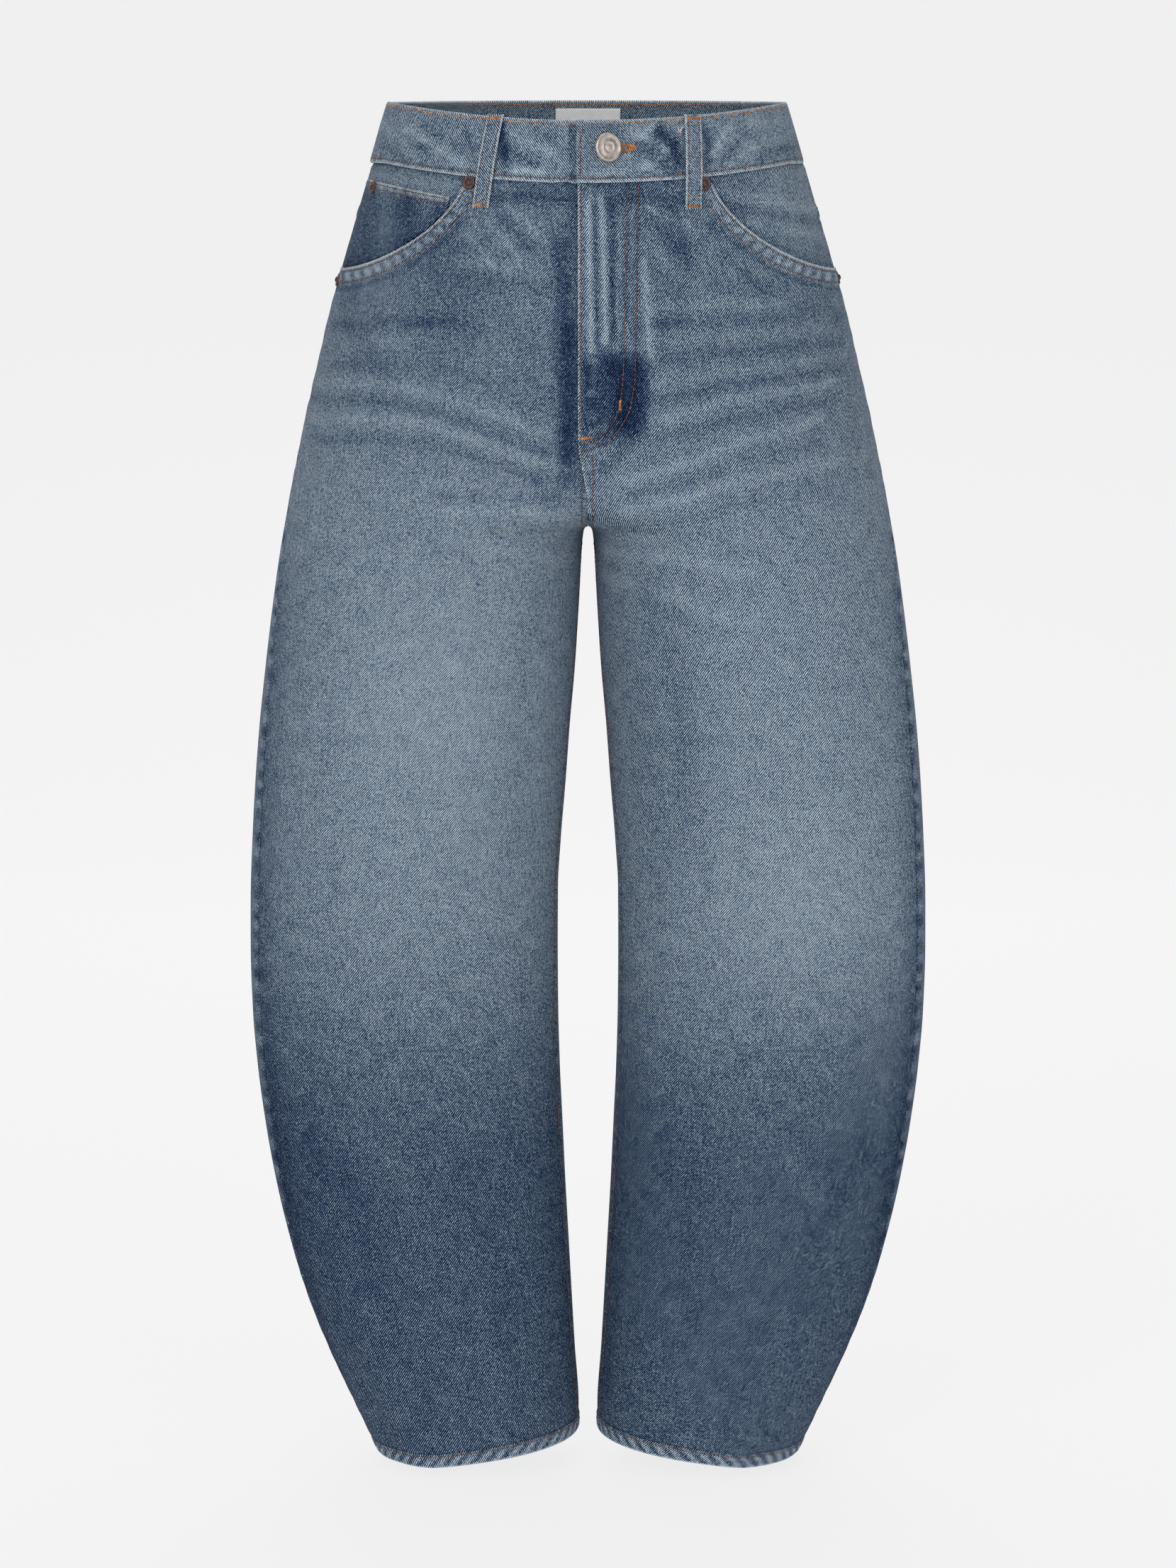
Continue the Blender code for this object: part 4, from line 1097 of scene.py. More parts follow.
# Back panels
# The two backs are cut wider than the fronts for the seat. They meet in the centre back seam, which is
# folded flat and stitched twice, and they crease under the seat and behind the knees.
BACK_STREAKS = (
    (((-182, -286), (-120, -300), (-60, -306), (-18, -300)), 7.0, 0.06, 0.9),
    (((-186, -312), (-124, -328), (-66, -336), (-24, -330)), 7.0, -0.05, -1.1),
    (((-180, -348), (-126, -356), (-72, -362)), 8.0, 0.04, 0.8),
    (((-168, -378), (-116, -388), (-70, -388)), 9.0, -0.03, -0.8),
    (((182, -290), (124, -298), (62, -308), (20, -302)), 7.0, 0.06, 0.9),
    (((186, -316), (130, -324), (70, -338), (26, -330)), 7.0, -0.05, -1.1),
    (((178, -344), (120, -358), (70, -360)), 8.0, 0.04, 0.8),
    (((172, -374), (122, -384), (72, -392)), 9.0, -0.03, -0.8),
    (((-214, -532), (-150, -544), (-84, -540), (-44, -548)), 7.0, 0.07, 0.9),
    (((-216, -556), (-154, -566), (-92, -558), (-46, -570)), 6.0, -0.07, -1.0),
    (((-210, -580), (-148, -586), (-88, -584), (-48, -594)), 7.0, 0.07, 0.9),
    (((-206, -604), (-150, -612), (-92, -604)), 7.0, -0.06, -1.0),
    (((-196, -632), (-140, -636), (-84, -634)), 8.0, 0.05, 0.8),
    (((214, -528), (152, -540), (86, -544), (46, -544)), 7.0, 0.07, 0.9),
    (((216, -552), (156, -560), (94, -564), (48, -566)), 6.0, -0.07, -1.0),
    (((210, -576), (150, -582), (90, -588), (50, -588)), 7.0, 0.07, 0.9),
    (((206, -600), (152, -606), (96, -612)), 7.0, -0.06, -1.0),
    (((198, -626), (142, -632), (88, -640)), 8.0, 0.05, 0.8),
    (((-20, -170), (-26, -220), (-44, -270)), 12.0, 0.04, 0.5),
    (((22, -172), (30, -224), (46, -268)), 12.0, 0.04, 0.5),
    (((-170, -700), (-148, -760), (-140, -830)), 14.0, -0.03, -0.9),
    (((168, -706), (150, -764), (136, -838)), 14.0, -0.03, -0.9),
    (((-70, -720), (-62, -790), (-60, -860)), 13.0, -0.03, -0.8),
    (((72, -716), (66, -786), (58, -852)), 13.0, -0.03, -0.8),
    (((-140, -856), (-120, -900), (-104, -945)), 10.0, 0.03, 0.9),
    (((138, -850), (122, -896), (100, -942)), 10.0, 0.03, 0.9),
)
back_tone_at = Curve(
    (
        (0, 0.36), (-120, 0.39), (-200, 0.44), (-290, 0.42), (-400, 0.35), (-540, 0.32), (-640, 0.28),
        (-760, 0.20), (-850, 0.17), (-1000, 0.15),
    ),
    1,
)
YOKE_SIDE_LEVEL = -82
YOKE_CENTRE_LEVEL = -116


def yoke_foot(point):
    share = np.minimum(np.abs(point[..., 0]) / 168, 1)
    return YOKE_CENTRE_LEVEL + (YOKE_SIDE_LEVEL - YOKE_CENTRE_LEVEL) * share


def yoke_seam(point):
    return yoke_foot(point) - SEAM_GAP


def back_look(half, arc, level, point):
    side = half.side
    x = point[..., 0]
    to_side = half.end(level) - arc
    tone, rise = streaks(BACK_STREAKS, x, level)
    tone += back_tone_at(level) + 0.07 * bump(np.abs(x), 92, 60) * bump(level, -250, 60)
    marks = roping(level * 0.66, 2.2 + side)
    tone += bump(to_side, 5, 6.0) * (0.30 * marks - 0.06) - 0.12 * bump(to_side, 0, 1.6)
    rise += 0.5 * bump(to_side, 4, 3) * (0.8 + 0.4 * marks) - 0.7 * bump(to_side, 0, 1.6)
    below = smooth(-level, 290, 304)
    marks = roping(level, 5.0 + side)
    tone += bump(arc, 0, 7) * (0.10 * marks - 0.05)
    rise += below * (0.4 * bump(arc, 4, 3) - 0.6 * bump(arc, 0, 1.6))
    above = 1 - below
    if side == LEFT:
        rise += above * (0.55 * smooth(arc, 10.5, 8.5) - 0.25 * (bump(arc, 2.2, 1) + bump(arc, 8.2, 1)))
        tone += above * 0.05 * bump(arc, 5, 4)
    else:
        rise -= above * 0.3 * bump(arc, 0, 1.5)
    rise -= hem_sink(point, level)
    seam = yoke_foot(point) - level
    rise -= 0.7 * bump(seam, 0, 1.6)
    tone -= 0.05 * bump(seam, 0, 4)
    return tone, rise, NO_RIM


for side, word in ((RIGHT, "right"), (LEFT, "left")):
    half = halves[side, True]
    share = shares((0.012, 3), (0.06, 8), (0.94, 78), (1.0, 10))

    def arc_rule(level):
        inner = SEAM_GAP / 2
        return inner + share * (half.end(level) - inner)

    top = half.level_on(arc_rule, yoke_seam, np.full(share.shape, -90.0))
    foot = half.level_on(arc_rule, hem_seam, np.full(share.shape, -960.0))
    level = panel_rows(top, -150.0, foot)
    arc = np.array([arc_rule(row) for row in level])
    make_sheet(f"back_{word}", half, arc, level, back_look)

# Back yoke
# Two pieces between the waistband and the backs that shape the seat. Their lower edges lie over the backs
# and are stitched twice.


def yoke_look(half, arc, level, point):
    x = point[..., 0]
    up = level - yoke_foot(point)
    tone = 0.38 + 0.05 * bump(np.abs(x), 80, 40) + 0.04 * np.sin(x * 0.5) * bump(up, 4, 5)
    tone += 0.05 * bump(up, 1, 2.5)
    rise = 0.75 * smooth(up, 11, 8.6) - 0.25 * (bump(up, 2.0, 1) + bump(up, 8.0, 1)) - 0.5 * bump(up, 0, 0.8)
    waist = band_foot(point) - level
    rise -= BAND_SINK * smooth(waist, 2.6, -0.6)
    # painted shadow of the waistband on the yoke just below it
    tone -= 0.10 * smooth(waist, 7, 0)
    if half.side == LEFT:
        rise += 0.35 * smooth(arc, 10.5, 8.5)
    return tone, rise, up + 0.6


back_threads = bmesh.new()
for side, word in ((RIGHT, "right"), (LEFT, "left")):
    half = halves[side, True]
    share = np.linspace(0.0, 1.0, 76)
    inner = SEAM_GAP / 2
    arc, level = patch_rows(
        half, lambda z: inner + share * (half.end(z) - inner), share, waist_seam, yoke_foot, 26, -70.0
    )
    make_sheet(f"yoke_{word}", half, arc, level, yoke_look)
    for up in (2.0, 8.0):
        share = np.linspace(0.004, 0.996, 130)
        level = half.level_on(lambda z: share * half.end(z), lambda p: yoke_foot(p) + up, np.full(130, -95.0))
        sew(back_threads, *seated(half, yoke_look, share * half.end(level), level))
for arc in (2.2, 8.2):
    for look, first, last in ((back_look, -120, -292), (yoke_look, -46, -114)):
        levels = np.arange(first, last, -1.5)
        sew(back_threads, *seated(halves[LEFT, True], look, np.full(levels.shape, arc), levels))
thread_piece("back_stitching", back_threads, brown_thread)

# Back pockets
# Patch pockets with a pointed foot and a turned top hem, laid on the backs and stitched round twice.
BACK_POCKET_X = 84
BACK_POCKET_TOP = -134
BACK_POCKET_TILT = 0.10
BACK_POCKET_HALF_TOP = 74
BACK_POCKET_HALF_FOOT = 64
BACK_POCKET_SIDE = 128
BACK_POCKET_POINT = 26
BACK_POCKET_OUT = 2.4
BACK_POCKET_TOP_ROW = 10.5 / 140


def pocket_spot(across, down):
    """Place on a back pocket from shares: across from -1 to 1, down from 0 to 1."""
    half_width = BACK_POCKET_HALF_TOP + (BACK_POCKET_HALF_FOOT - BACK_POCKET_HALF_TOP) * down
    x = BACK_POCKET_X + across * half_width
    depth = BACK_POCKET_SIDE + BACK_POCKET_POINT * (1 - np.abs(across))
    return x, BACK_POCKET_TOP + BACK_POCKET_TILT * (x - BACK_POCKET_X) - down * depth


def pocket_edges(across, down):
    """Distance in millimetres to the nearest edge, and to the top edge."""
    side_gap = (1 - np.abs(across)) * BACK_POCKET_HALF_FOOT
    depth = BACK_POCKET_SIDE + BACK_POCKET_POINT * (1 - np.abs(across))
    return np.minimum(side_gap, (1 - down) * depth), down * depth


def back_pocket_shape(across, down):
    edge, top = pocket_edges(across, down)
    nearest = np.minimum(edge, top)
    rise = BACK_POCKET_OUT + 0.25 - 0.8 * bump(nearest, 0, 1.0) + 0.3 * smooth(top, 13, 10)
    rise -= 0.3 * (bump(edge, 2.0, 1.0) + bump(edge, 8.0, 1.0) + bump(top, 10.5, 1.0))
    rise += 0.5 * bump(across, 0, 0.6) * bump(down, 0.45, 0.4)
    tone = 0.42 - 0.08 * bump(edge, 5, 3) + 0.07 * bump(down, 0.5, 0.35) * bump(across, 0, 0.7)
    tone += 0.05 * np.sin(down * 70 + across * 3) * bump(edge, 5, 3.5) + 0.06 * smooth(top, 12, 8)
    return tone, rise, nearest


pocket_threads = bmesh.new()
pocket_tacks = bmesh.new()
for side, word in ((RIGHT, "right"), (LEFT, "left")):
    half = halves[side, True]
    across, down = np.meshgrid(np.linspace(-1, 1, 63), np.linspace(1, 0, 70))
    x, level = pocket_spot(across, down)
    arc = half.arc_at_x(side * x, level)
    shape = back_pocket_shape(across, down)
    make_sheet(f"back_pocket_{word}", half, arc, level, lambda *_: shape)
    lines = []
    for inset in (2.0, 8.0):
        u = 1 - inset / BACK_POCKET_HALF_FOOT
        v = 1 - inset / BACK_POCKET_SIDE
        lines.append(dense(((-u, 0.01), (-u, v), (0, v), (u, v), (u, 0.01)), step=0.01, soften=0).T)
    lines.append((np.linspace(-0.96, 0.96, 90), np.full(90, BACK_POCKET_TOP_ROW)))
    for across, down in lines:
        x, level = pocket_spot(across, down)
        rise = back_pocket_shape(across, down)[1]
        sew(pocket_threads, *lifted(half, half.arc_at_x(side * x, level), level, rise))
    for u in (-0.95, 0.95):
        x, level = pocket_spot(np.full(9, u), np.linspace(0.012, 0.075, 9))
        path = lifted(half, half.arc_at_x(side * x, level), level, BACK_POCKET_OUT, 0.5)
        sew(pocket_tacks, *path, pitch=0.75, length=2.4, width=0.8, cross=True)
thread_piece("back_pocket_stitching", pocket_threads, brown_thread)
thread_piece("back_pocket_bar_tacks", pocket_tacks, orange_thread)

# Hems
# Each leg ends in a narrow hem, turned up twice and stitched. The sewing pulls it into slanting puckers,
# which the wash has worn pale.
hem_threads = bmesh.new()
denim_hem = denim("denim_hem", edge_wear=0.42)
HEM_COUNT = 84
HEM_START = -965
HEM_ROW = 8.1


def hem_look(run, up, *_):
    puckers = np.sin((run + up * 1.1) * 0.62 + 1.5 * np.sin(run * 0.041))
    tone = 0.38 + 0.34 * puckers * bump(up, 4.5, 4.5) - 0.12 * bump(up, 9.5, 1.4)
    rise = 0.6 + 0.28 * puckers * bump(up, 5, 3.5) - 0.7 * bump(up, 0, 0.9) - 0.3 * bump(up, 8.1, 1.0)
    rise -= 0.5 * bump(up, HEM_HEIGHT, 0.8)
    return tone, rise, up + 0.2


def ring_parts(halves_in_order, count, rule, start):
    """Arcs, levels and halves in turn round a closed or open ring at one edge rule."""
    parts = []
    for half, first, last in halves_in_order:
        share = np.linspace(0, 1, count)

        def arc_rule(level):
            begin = half.end(level) if first is None else first
            end = half.end(level) if last is None else last
            return begin + (end - begin) * share

        level = half.level_on(arc_rule, rule, np.full(count, float(start)))
        parts.append((half, arc_rule(level), level))
    return parts


def ring_row(parts):
    """Points and normals along the parts, without repeating where they meet."""
    half, arc, level = parts[-1]
    cut = [(one, arcs[:-1], levels[:-1]) for one, arcs, levels in parts] + [(half, arc[-1:], level[-1:])]
    points = np.concatenate([one.point(arcs, levels) for one, arcs, levels in cut])
    normals = np.concatenate([one.normal(arcs, levels) for one, arcs, levels in cut])
    return points, normals


def ring_piece(node, order, rule, ups, count, start, look, direction, thick, paint, **closing):
    """A strip round the body with rows at heights above an edge. Returns the lengths along its middle row."""
    lines = [ring_row(ring_parts(order, count, lambda p: rule(p) + up, start)) for up in ups]
    points = np.array([line[0] for line in lines])
    normals = np.array([line[1] for line in lines])
    around = run_along(points[len(ups) // 2])
    run, up = np.meshgrid(around, np.asarray(ups, dtype=float))
    tone, rise, rim = look(run, up, points)
    raised = points + normals * rise[..., None]
    place = np.stack([direction * run, up], axis=-1)
    piece = cloth_sheet(f"{node}_cloth", raised, place, tone, rim, thick, [paint], **closing)
    fasten(piece, normals, node)
    return around


def ring_line(order, rule, up, count, start, look, run):
    """One line round a strip, at a height above its edge: places, outward directions and rises."""
    path, out = ring_row(ring_parts(order, count, lambda p: rule(p) + up, start))
    return path, out, look(run, np.full(len(path), up), path)[1]


HEM_ROWS = (0, 0.5, 1.2, 2.2, 3.4, 4.6, 5.8, 7.0, 7.7, 8.5, 9.2, 9.6, HEM_HEIGHT)
for side, word in ((RIGHT, "right"), (LEFT, "left")):
    order = ((halves[side, False], SEAM_GAP / 2, None), (halves[side, True], None, SEAM_GAP / 2))
    ring = (HEM_COUNT, HEM_START, hem_look)
    run = ring_piece(f"hem_{word}", order, hem_foot, HEM_ROWS, *ring, side, 2.2, denim_hem, seam_closed=True)
    path, out, rise = ring_line(order, hem_foot, HEM_ROW, *ring, run)
    sew(hem_threads, path + out * (rise + THREAD_LIFT)[:, None], out)
thread_piece("hem_stitching", hem_threads, brown_thread)

# Waistband
# One strip of denim round the waist, as thick as two layers. Its left end laps over the right one in front,
# and it is stitched along both edges.
OVERLAP_X = 8
UNDERLAP_X = 38
BAND_OUT = 0.4
BAND_STEP = 1.6
BAND_CLOTH = 2.1
denim_band = denim("denim_band", slant=-1.0, edge_wear=0.22)


# Worn creases of the waistband in front, as lines of (x, height above its foot)
BAND_STREAKS = (
    (((-150, 30), (-132, 22), (-118, 8)), 4.0, 0.08, 0.2),
    (((-142, 12), (-128, 6)), 4.0, -0.10, -0.2),
    (((-126, 27), (-112, 21), (-98, 14), (-84, 8)), 3.0, 0.17, 0.3),
    (((-122, 18), (-108, 14), (-96, 9)), 2.6, -0.16, -0.2),
    (((-112, 31), (-98, 24), (-86, 18)), 2.6, -0.12, -0.2),
    (((-104, 12), (-92, 7)), 2.4, 0.16, 0.2),
    (((-84, 30), (-80, 16)), 3.0, -0.12, -0.2),
    (((-61, 38), (-59, 26), (-57, 14)), 5.0, -0.34, -0.4),
    (((-55, 22), (-46, 15), (-36, 12)), 4.0, -0.16, -0.3),
    (((-52, 31), (-40, 26), (-24, 20)), 3.0, 0.12, 0.2),
    (((-54, 8), (-42, 6), (-30, 7)), 3.6, 0.20, 0.3),
    (((-34, 34), (-22, 30)), 3.0, -0.12, -0.2),
    (((-20, 14), (-12, 12)), 3.0, 0.10, 0.1),
    (((-11, 40), (-11, 4)), 3.0, -0.16, -0.2),
    (((-5, 36), (8, 38), (20, 38)), 3.0, -0.10, 0.0),
    (((0, 6), (12, 8), (24, 7)), 4.0, 0.10, 0.2),
    (((30, 34), (38, 30), (44, 38)), 3.2, 0.20, 0.3),
    (((34, 24), (44, 20), (52, 12)), 5.0, -0.20, -0.3),
    (((36, 9), (46, 14), (54, 22)), 2.8, 0.22, 0.3),
    (((48, 34), (58, 26), (62, 12)), 6.0, -0.34, -0.4),
    (((54, 5), (66, 5)), 3.0, -0.12, -0.2),
    (((80, 34), (84, 20), (82, 8)), 4.0, -0.22, -0.3),
    (((84, 14), (92, 24), (100, 34)), 2.8, 0.18, 0.3),
    (((92, 8), (102, 18), (110, 28)), 2.8, -0.15, -0.2),
    (((98, 6), (110, 14), (122, 20)), 3.0, 0.12, 0.2),
    (((112, 34), (124, 30), (138, 32)), 4.0, 0.06, 0.1),
    (((120, 8), (134, 10), (148, 12)), 4.0, -0.14, -0.2),
)


def band_look(run, up, points):
    x = points[..., 0]
    y = points[..., 1]
    front = y < 0
    lap = run < UNDERLAP_X + 90
    marks, folds = streaks(BAND_STREAKS, np.where(front, x, 1e4), up)
    tone = 0.43 + 1.5 * marks - 0.03 * front * smooth(x, -70, -110)
    tone += 0.06 * np.sin(run * 0.47 + 1.2 * np.sin(run * 0.05)) * bump(up, 2, 4)
    tone += 0.20 * bump(up, 0.6, 1.8) - 0.10 * bump(up, 3.2, 1.4) + 0.10 * bump(up, 42.4, 1.6)
    step = BAND_STEP * (1 - smooth(x, 34, 72)) * front * ~lap
    sunk = -BAND_STEP * smooth(x, -34, -9) * front * lap
    ends = np.where(lap, run, run.max() - run)
    edge = np.minimum(up, BAND_HEIGHT - up)
    rise = BAND_OUT + step + sunk + folds
    rise += 0.25 * bump(up, 21, 15) + 0.12 * np.sin(run * 0.47) * bump(edge, 5, 4)
    rise -= 0.8 * bump(edge, 0, 0.9) + 0.3 * bump(edge, 3.0, 1.0)
    rise -= np.where(lap, 0, 1) * (0.7 * bump(ends, 0, 0.8) + 0.25 * bump(ends, 3.0, 1.0) * (edge > 3))
    return tone, rise, np.minimum(edge, np.where(lap, NO_RIM, ends)) + 0.2


band_order = (
    (halves[RIGHT, False], -UNDERLAP_X, None),
    (halves[RIGHT, True], None, 0.0),
    (halves[LEFT, True], 0.0, None),
    (halves[LEFT, False], None, -OVERLAP_X),
)
BAND_ROWS = (0, 0.4, 1.0, 2.0, 3.0, 4.2, 6.5, 11, 16, 21, 26, 31, 36, 38.8, 40, 41, 42, 42.6, BAND_HEIGHT)
BAND_COUNT = 110
BAND_START = -30
BAND_END_INSET = 2.8
ring = (BAND_COUNT, BAND_START, band_look)
run = ring_piece("waistband", band_order, band_foot, BAND_ROWS, *ring, -1, BAND_CLOTH, denim_band)
band_threads = bmesh.new()
band_tan = bmesh.new()
for up, threads in ((3.0, band_threads), (40.4, band_tan)):
    path, out, rise = ring_line(band_order, band_foot, up, *ring, run)
    sew(threads, path + out * (rise + THREAD_LIFT)[:, None], out)
    if threads is band_tan:
        sew(threads, path + out * (rise - BAND_CLOTH - THREAD_LIFT)[:, None], -out)
at = BAND_END_INSET - OVERLAP_X
levels = []
for up in np.arange(3.0, 40.0, 1.5):
    half, arc, level = ring_parts(band_order, BAND_COUNT, lambda p: band_foot(p) + up, BAND_START)[-1]
    levels.append(float(np.interp(at, arc[::-1], level[::-1])))
levels = np.array(levels)
sew(band_threads, *lifted(halves[LEFT, False], np.full(levels.shape, at), levels, BAND_OUT + BAND_STEP))
thread_piece("waistband_stitching", band_threads, brown_thread)
thread_piece("waistband_top_stitching", band_tan, orange_thread)

# Label
# A plain white woven label, bare, inside the back of the waistband.
LABEL_HALF = 23.7
LABEL_TOP = -5.4
LABEL_HEIGHT = 30
LABEL_DEPTH = -2.7

label_paint, tree, shader = blank_paint("label_cloth")
add, _, times = arithmetic(tree)
reader = tree.nodes.new("ShaderNodeUVMap")
reader.uv_map = "weave"
split = tree.nodes.new("ShaderNodeSeparateXYZ")
tree.links.new(reader.outputs[0], split.inputs[0])
warp = math_node(tree, "SINE", times(split.outputs[0], 18.0))
weft = math_node(tree, "SINE", times(split.outputs[1], 14.0))
ribs = times(warp, weft)
soiled = noise_node(tree, reader.outputs[0], 0.2, 3)
shown = add(times(ribs, 0.12), soiled)
tree.links.new(
    ramp_node(tree, shown, ((0.2, (226, 225, 223)), (0.5, (240, 240, 239)), (0.8, (248, 248, 247)))),
    shader.inputs["Base Color"],
)
add_relief(tree, shader, ribs, 0.0001)
tree.links.new(add(times(soiled, 0.2), 0.5), shader.inputs["Roughness"])
# A faint white glow brightens the label where it sits in shade inside the band: painted light, not a lamp.
shader.inputs["Emission Color"].default_value = (1, 1, 1, 1)
shader.inputs["Emission Strength"].default_value = 0.1
label_paint.diffuse_color = srgb(201, 200, 199)

half = halves[LEFT, True]
heights = np.linspace(LABEL_TOP - LABEL_HEIGHT, LABEL_TOP, 25)
across, level = np.meshgrid(np.linspace(-LABEL_HALF, LABEL_HALF, 41), heights)
arc = half.arc_at_x(across, level)
normal = half.normal(arc, level)
sag = 0.25 * np.sin(across * 0.13 + 0.4) * bump(level, LABEL_TOP - 14, 12)
raised = half.point(arc, level) + normal * (LABEL_DEPTH - np.maximum(sag, 0))[..., None]
label = cloth_sheet("label_cloth", raised, np.stack([-across, level], axis=-1), 0.5, NO_RIM, 0.5, [label_paint])
fasten(label, normal, "label")

# Belt loops
# Folded strips of denim over the waistband, two in front and three behind. Both long edges are stitched,
# and a bar tack holds each end.
LOOP_WIDTH = 11.4
LOOP_THICK = 1.6
LOOP_ARCH = 2.4
LOOPS = (
    # number, top, foot, back
    (1, (-63.2, -9.6), (-74.0, -74.0), False),
    (2, (71.6, -9.6), (72.5, -75.0), False),
    (3, (-104.0, -0.9), (-107.0, -64.0), True),
    (4, (104.0, -0.9), (107.0, -64.0), True),
    (5, (0.0, -0.5), (0.0, -63.5), True),
)
denim_loop = denim("denim_loop", slant=-1.0, edge_wear=0.26)
loop_threads = bmesh.new()
loop_tacks = bmesh.new()


def loop_spot(top, foot, back, share, aside):
    """Place on a belt loop: share from its foot up, aside from its middle line in millimetres."""
    level = foot[1] + (top[1] - foot[1]) * share
    x = foot[0] + (top[0] - foot[0]) * share + aside
    half = halves[RIGHT if foot[0] < 0 else LEFT, back]
    arc = half.arc_at_x(x, level)
    step = 0 if back or top[0] < 0 else BAND_STEP
    band = BAND_OUT + step * (1 - smooth(np.abs(x), 34, 72))
    height = 0.5 + band * smooth(foot[1] - level, -16, -26) + LOOP_ARCH * np.sin(math.pi * share) + LOOP_THICK
    edge = LOOP_WIDTH / 2 - np.abs(aside)
    height += 0.3 * bump(aside, 0, 2.5) - 0.25 * bump(edge, 2.0, 0.7) - 0.6 * bump(edge, 0, 0.6)
    height -= 1.3 * smooth(share, 0.97, 1.0) + 0.9 * smooth(share, 0.025, 0.0)
    return half, arc, level, height, edge


for number, top, foot, back in LOOPS:
    aside, share = np.meshgrid(np.linspace(-LOOP_WIDTH / 2, LOOP_WIDTH / 2, 15), np.linspace(0, 1, 54))
    half, arc, level, height, edge = loop_spot(top, foot, back, share, aside)
    tone = 0.40 + 0.22 * bump(edge, 0.4, 1.3) + 0.07 * np.sin(share * 40 + number) * bump(edge, 1, 2)
    tone += 0.06 * smooth(share, 0.9, 1.0)
    cloth = (tone, height, edge + 0.1)
    make_sheet(f"belt_loop_{number}", half, arc, level, lambda *_: cloth, [denim_loop], 1.3)
    for off in (-3.7, 3.7):
        share = np.linspace(0.03, 0.97, 50)
        half, arc, level, height, edge = loop_spot(top, foot, back, share, np.full(50, off))
        sew(loop_threads, *lifted(half, arc, level, height), pitch=3.0, length=2.4)
    for at in (0.032, 0.955):
        off = np.linspace(-4.9, 4.9, 24)
        half, arc, level, height, edge = loop_spot(top, foot, back, np.full(24, at), off)
        path = lifted(half, arc, level, height.max())
        sew(loop_tacks, *path, pitch=0.7, length=1.9, width=0.8, cross=True)
thread_piece("belt_loop_stitching", loop_threads, brown_thread)
thread_piece("belt_loop_bar_tacks", loop_tacks, orange_thread)

# Frayed threads
# Loose white weft that has worn free along the lower half of both pocket edges, and a tuft beside the left
# front belt loop. Each is a thin bent yarn rooted in the cloth.
YARN_RADIUS = 0.16
FRAY_SEED = 5


def yarn(threads, root, way, out, length, bend):
    """One loose yarn from a root, leaving along way and bending out of the cloth."""
    steps = 6
    rings = []
    for i in range(steps + 1):
        part = i / steps
        curl = part * part
        spot = root + way * length * part + out * (length * 0.5 * curl + 0.2) + out.cross(way) * bend * curl
        thin = YARN_RADIUS * (1 - 0.6 * part)
        ring = [spot + (out * math.cos(a) + out.cross(way) * math.sin(a)) * thin for a in (0, 2.1, 4.2)]
        rings.append([threads.verts.new(place * MM) for place in ring])
    for low, high in zip(rings, rings[1:]):
        for j in range(3):
            threads.faces.new((low[j], low[(j + 1) % 3], high[(j + 1) % 3], high[j]))
    threads.faces.new(rings[-1])
    threads.faces.new(rings[0][::-1])


fray = bmesh.new()
chance = np.random.default_rng(FRAY_SEED)
for side in (RIGHT, LEFT):
    line = pocket_line(side, 0.6)
    spots, outs = on_front(side, line, soften=0)
    for k in range(120):
        i = int(len(spots) * (0.02 + 0.5 * chance.random() ** 1.3))
        root = Vector(spots[i])
        out = Vector(outs[i]).normalized()
        along = (Vector(spots[min(i + 2, len(spots) - 1)]) - Vector(spots[max(i - 2, 0)])).normalized()
        up = out.cross(along)
        up = up if up.z > 0 else -up
        way = (along * (chance.random() * 2 - 1) * 3 + up * 0.6).normalized()
        yarn(fray, root, way, out * 0.5, 0.7 + 1.5 * chance.random(), (chance.random() - 0.5) * 1.6)
half = halves[LEFT, False]
level = np.array([-21.5])
arc = half.arc_at_x(np.array([63.5]), level)
root = half.point(arc, level)[0]
out = half.normal(arc, level)[0]
for k in range(26):
    aside = Vector((chance.random() - 0.8, 0, chance.random() - 0.45)).normalized()
    start = Vector(root + out * (BAND_OUT + BAND_STEP * 0.6)) + aside * chance.random() * 1.5
    yarn(fray, start, aside, Vector(out), 1.6 + 3.2 * chance.random(), (chance.random() - 0.5) * 3)
bmesh.ops.recalc_face_normals(fray, faces=fray.faces)
thread_piece("frayed_threads", fray, thread_paint("weft_thread", (232, 233, 230)))

# Buttonhole
# The worked edges of a keyhole at the left end of the waistband, in orange thread. They lie on the cloth, and
# no slit is cut.
HOLE_FROM = 17.0
HOLE_TIP = 32.2
HOLE_LEVEL = -32.6
hole_threads = bmesh.new()
half = halves[LEFT, False]


def on_band(x, level, lift):
    """Path on the lapped end of the waistband."""
    return lifted(half, half.arc_at_x(x, level), level, BAND_OUT + BAND_STEP, lift)


for way in (-1, 1):
    x = np.linspace(HOLE_FROM, HOLE_TIP, 40)
    level = HOLE_LEVEL + way * (3.1 * (1 - (x - HOLE_FROM) / (HOLE_TIP - HOLE_FROM)) + 0.7)
    sew(hole_threads, *on_band(x, level, 0.4), pitch=0.7, length=2.5, width=0.85, cross=True)
x = np.linspace(HOLE_TIP - 0.5, HOLE_TIP + 0.9, 12)
sew(hole_threads, *on_band(x, np.full(12, HOLE_LEVEL), 0.45), pitch=0.5, length=3.4, width=0.8, cross=True)
thread_piece("buttonhole_stitching", hole_threads, orange_thread)

# Button
# A cast metal shank button with a raised rim, a flat ring and a low boss. The pull of the buttonhole turns it
# a little. The ring is bare.
BUTTON_AT = (11.4, -33)
BUTTON_OUT = 4.2
BUTTON_TURN = 26


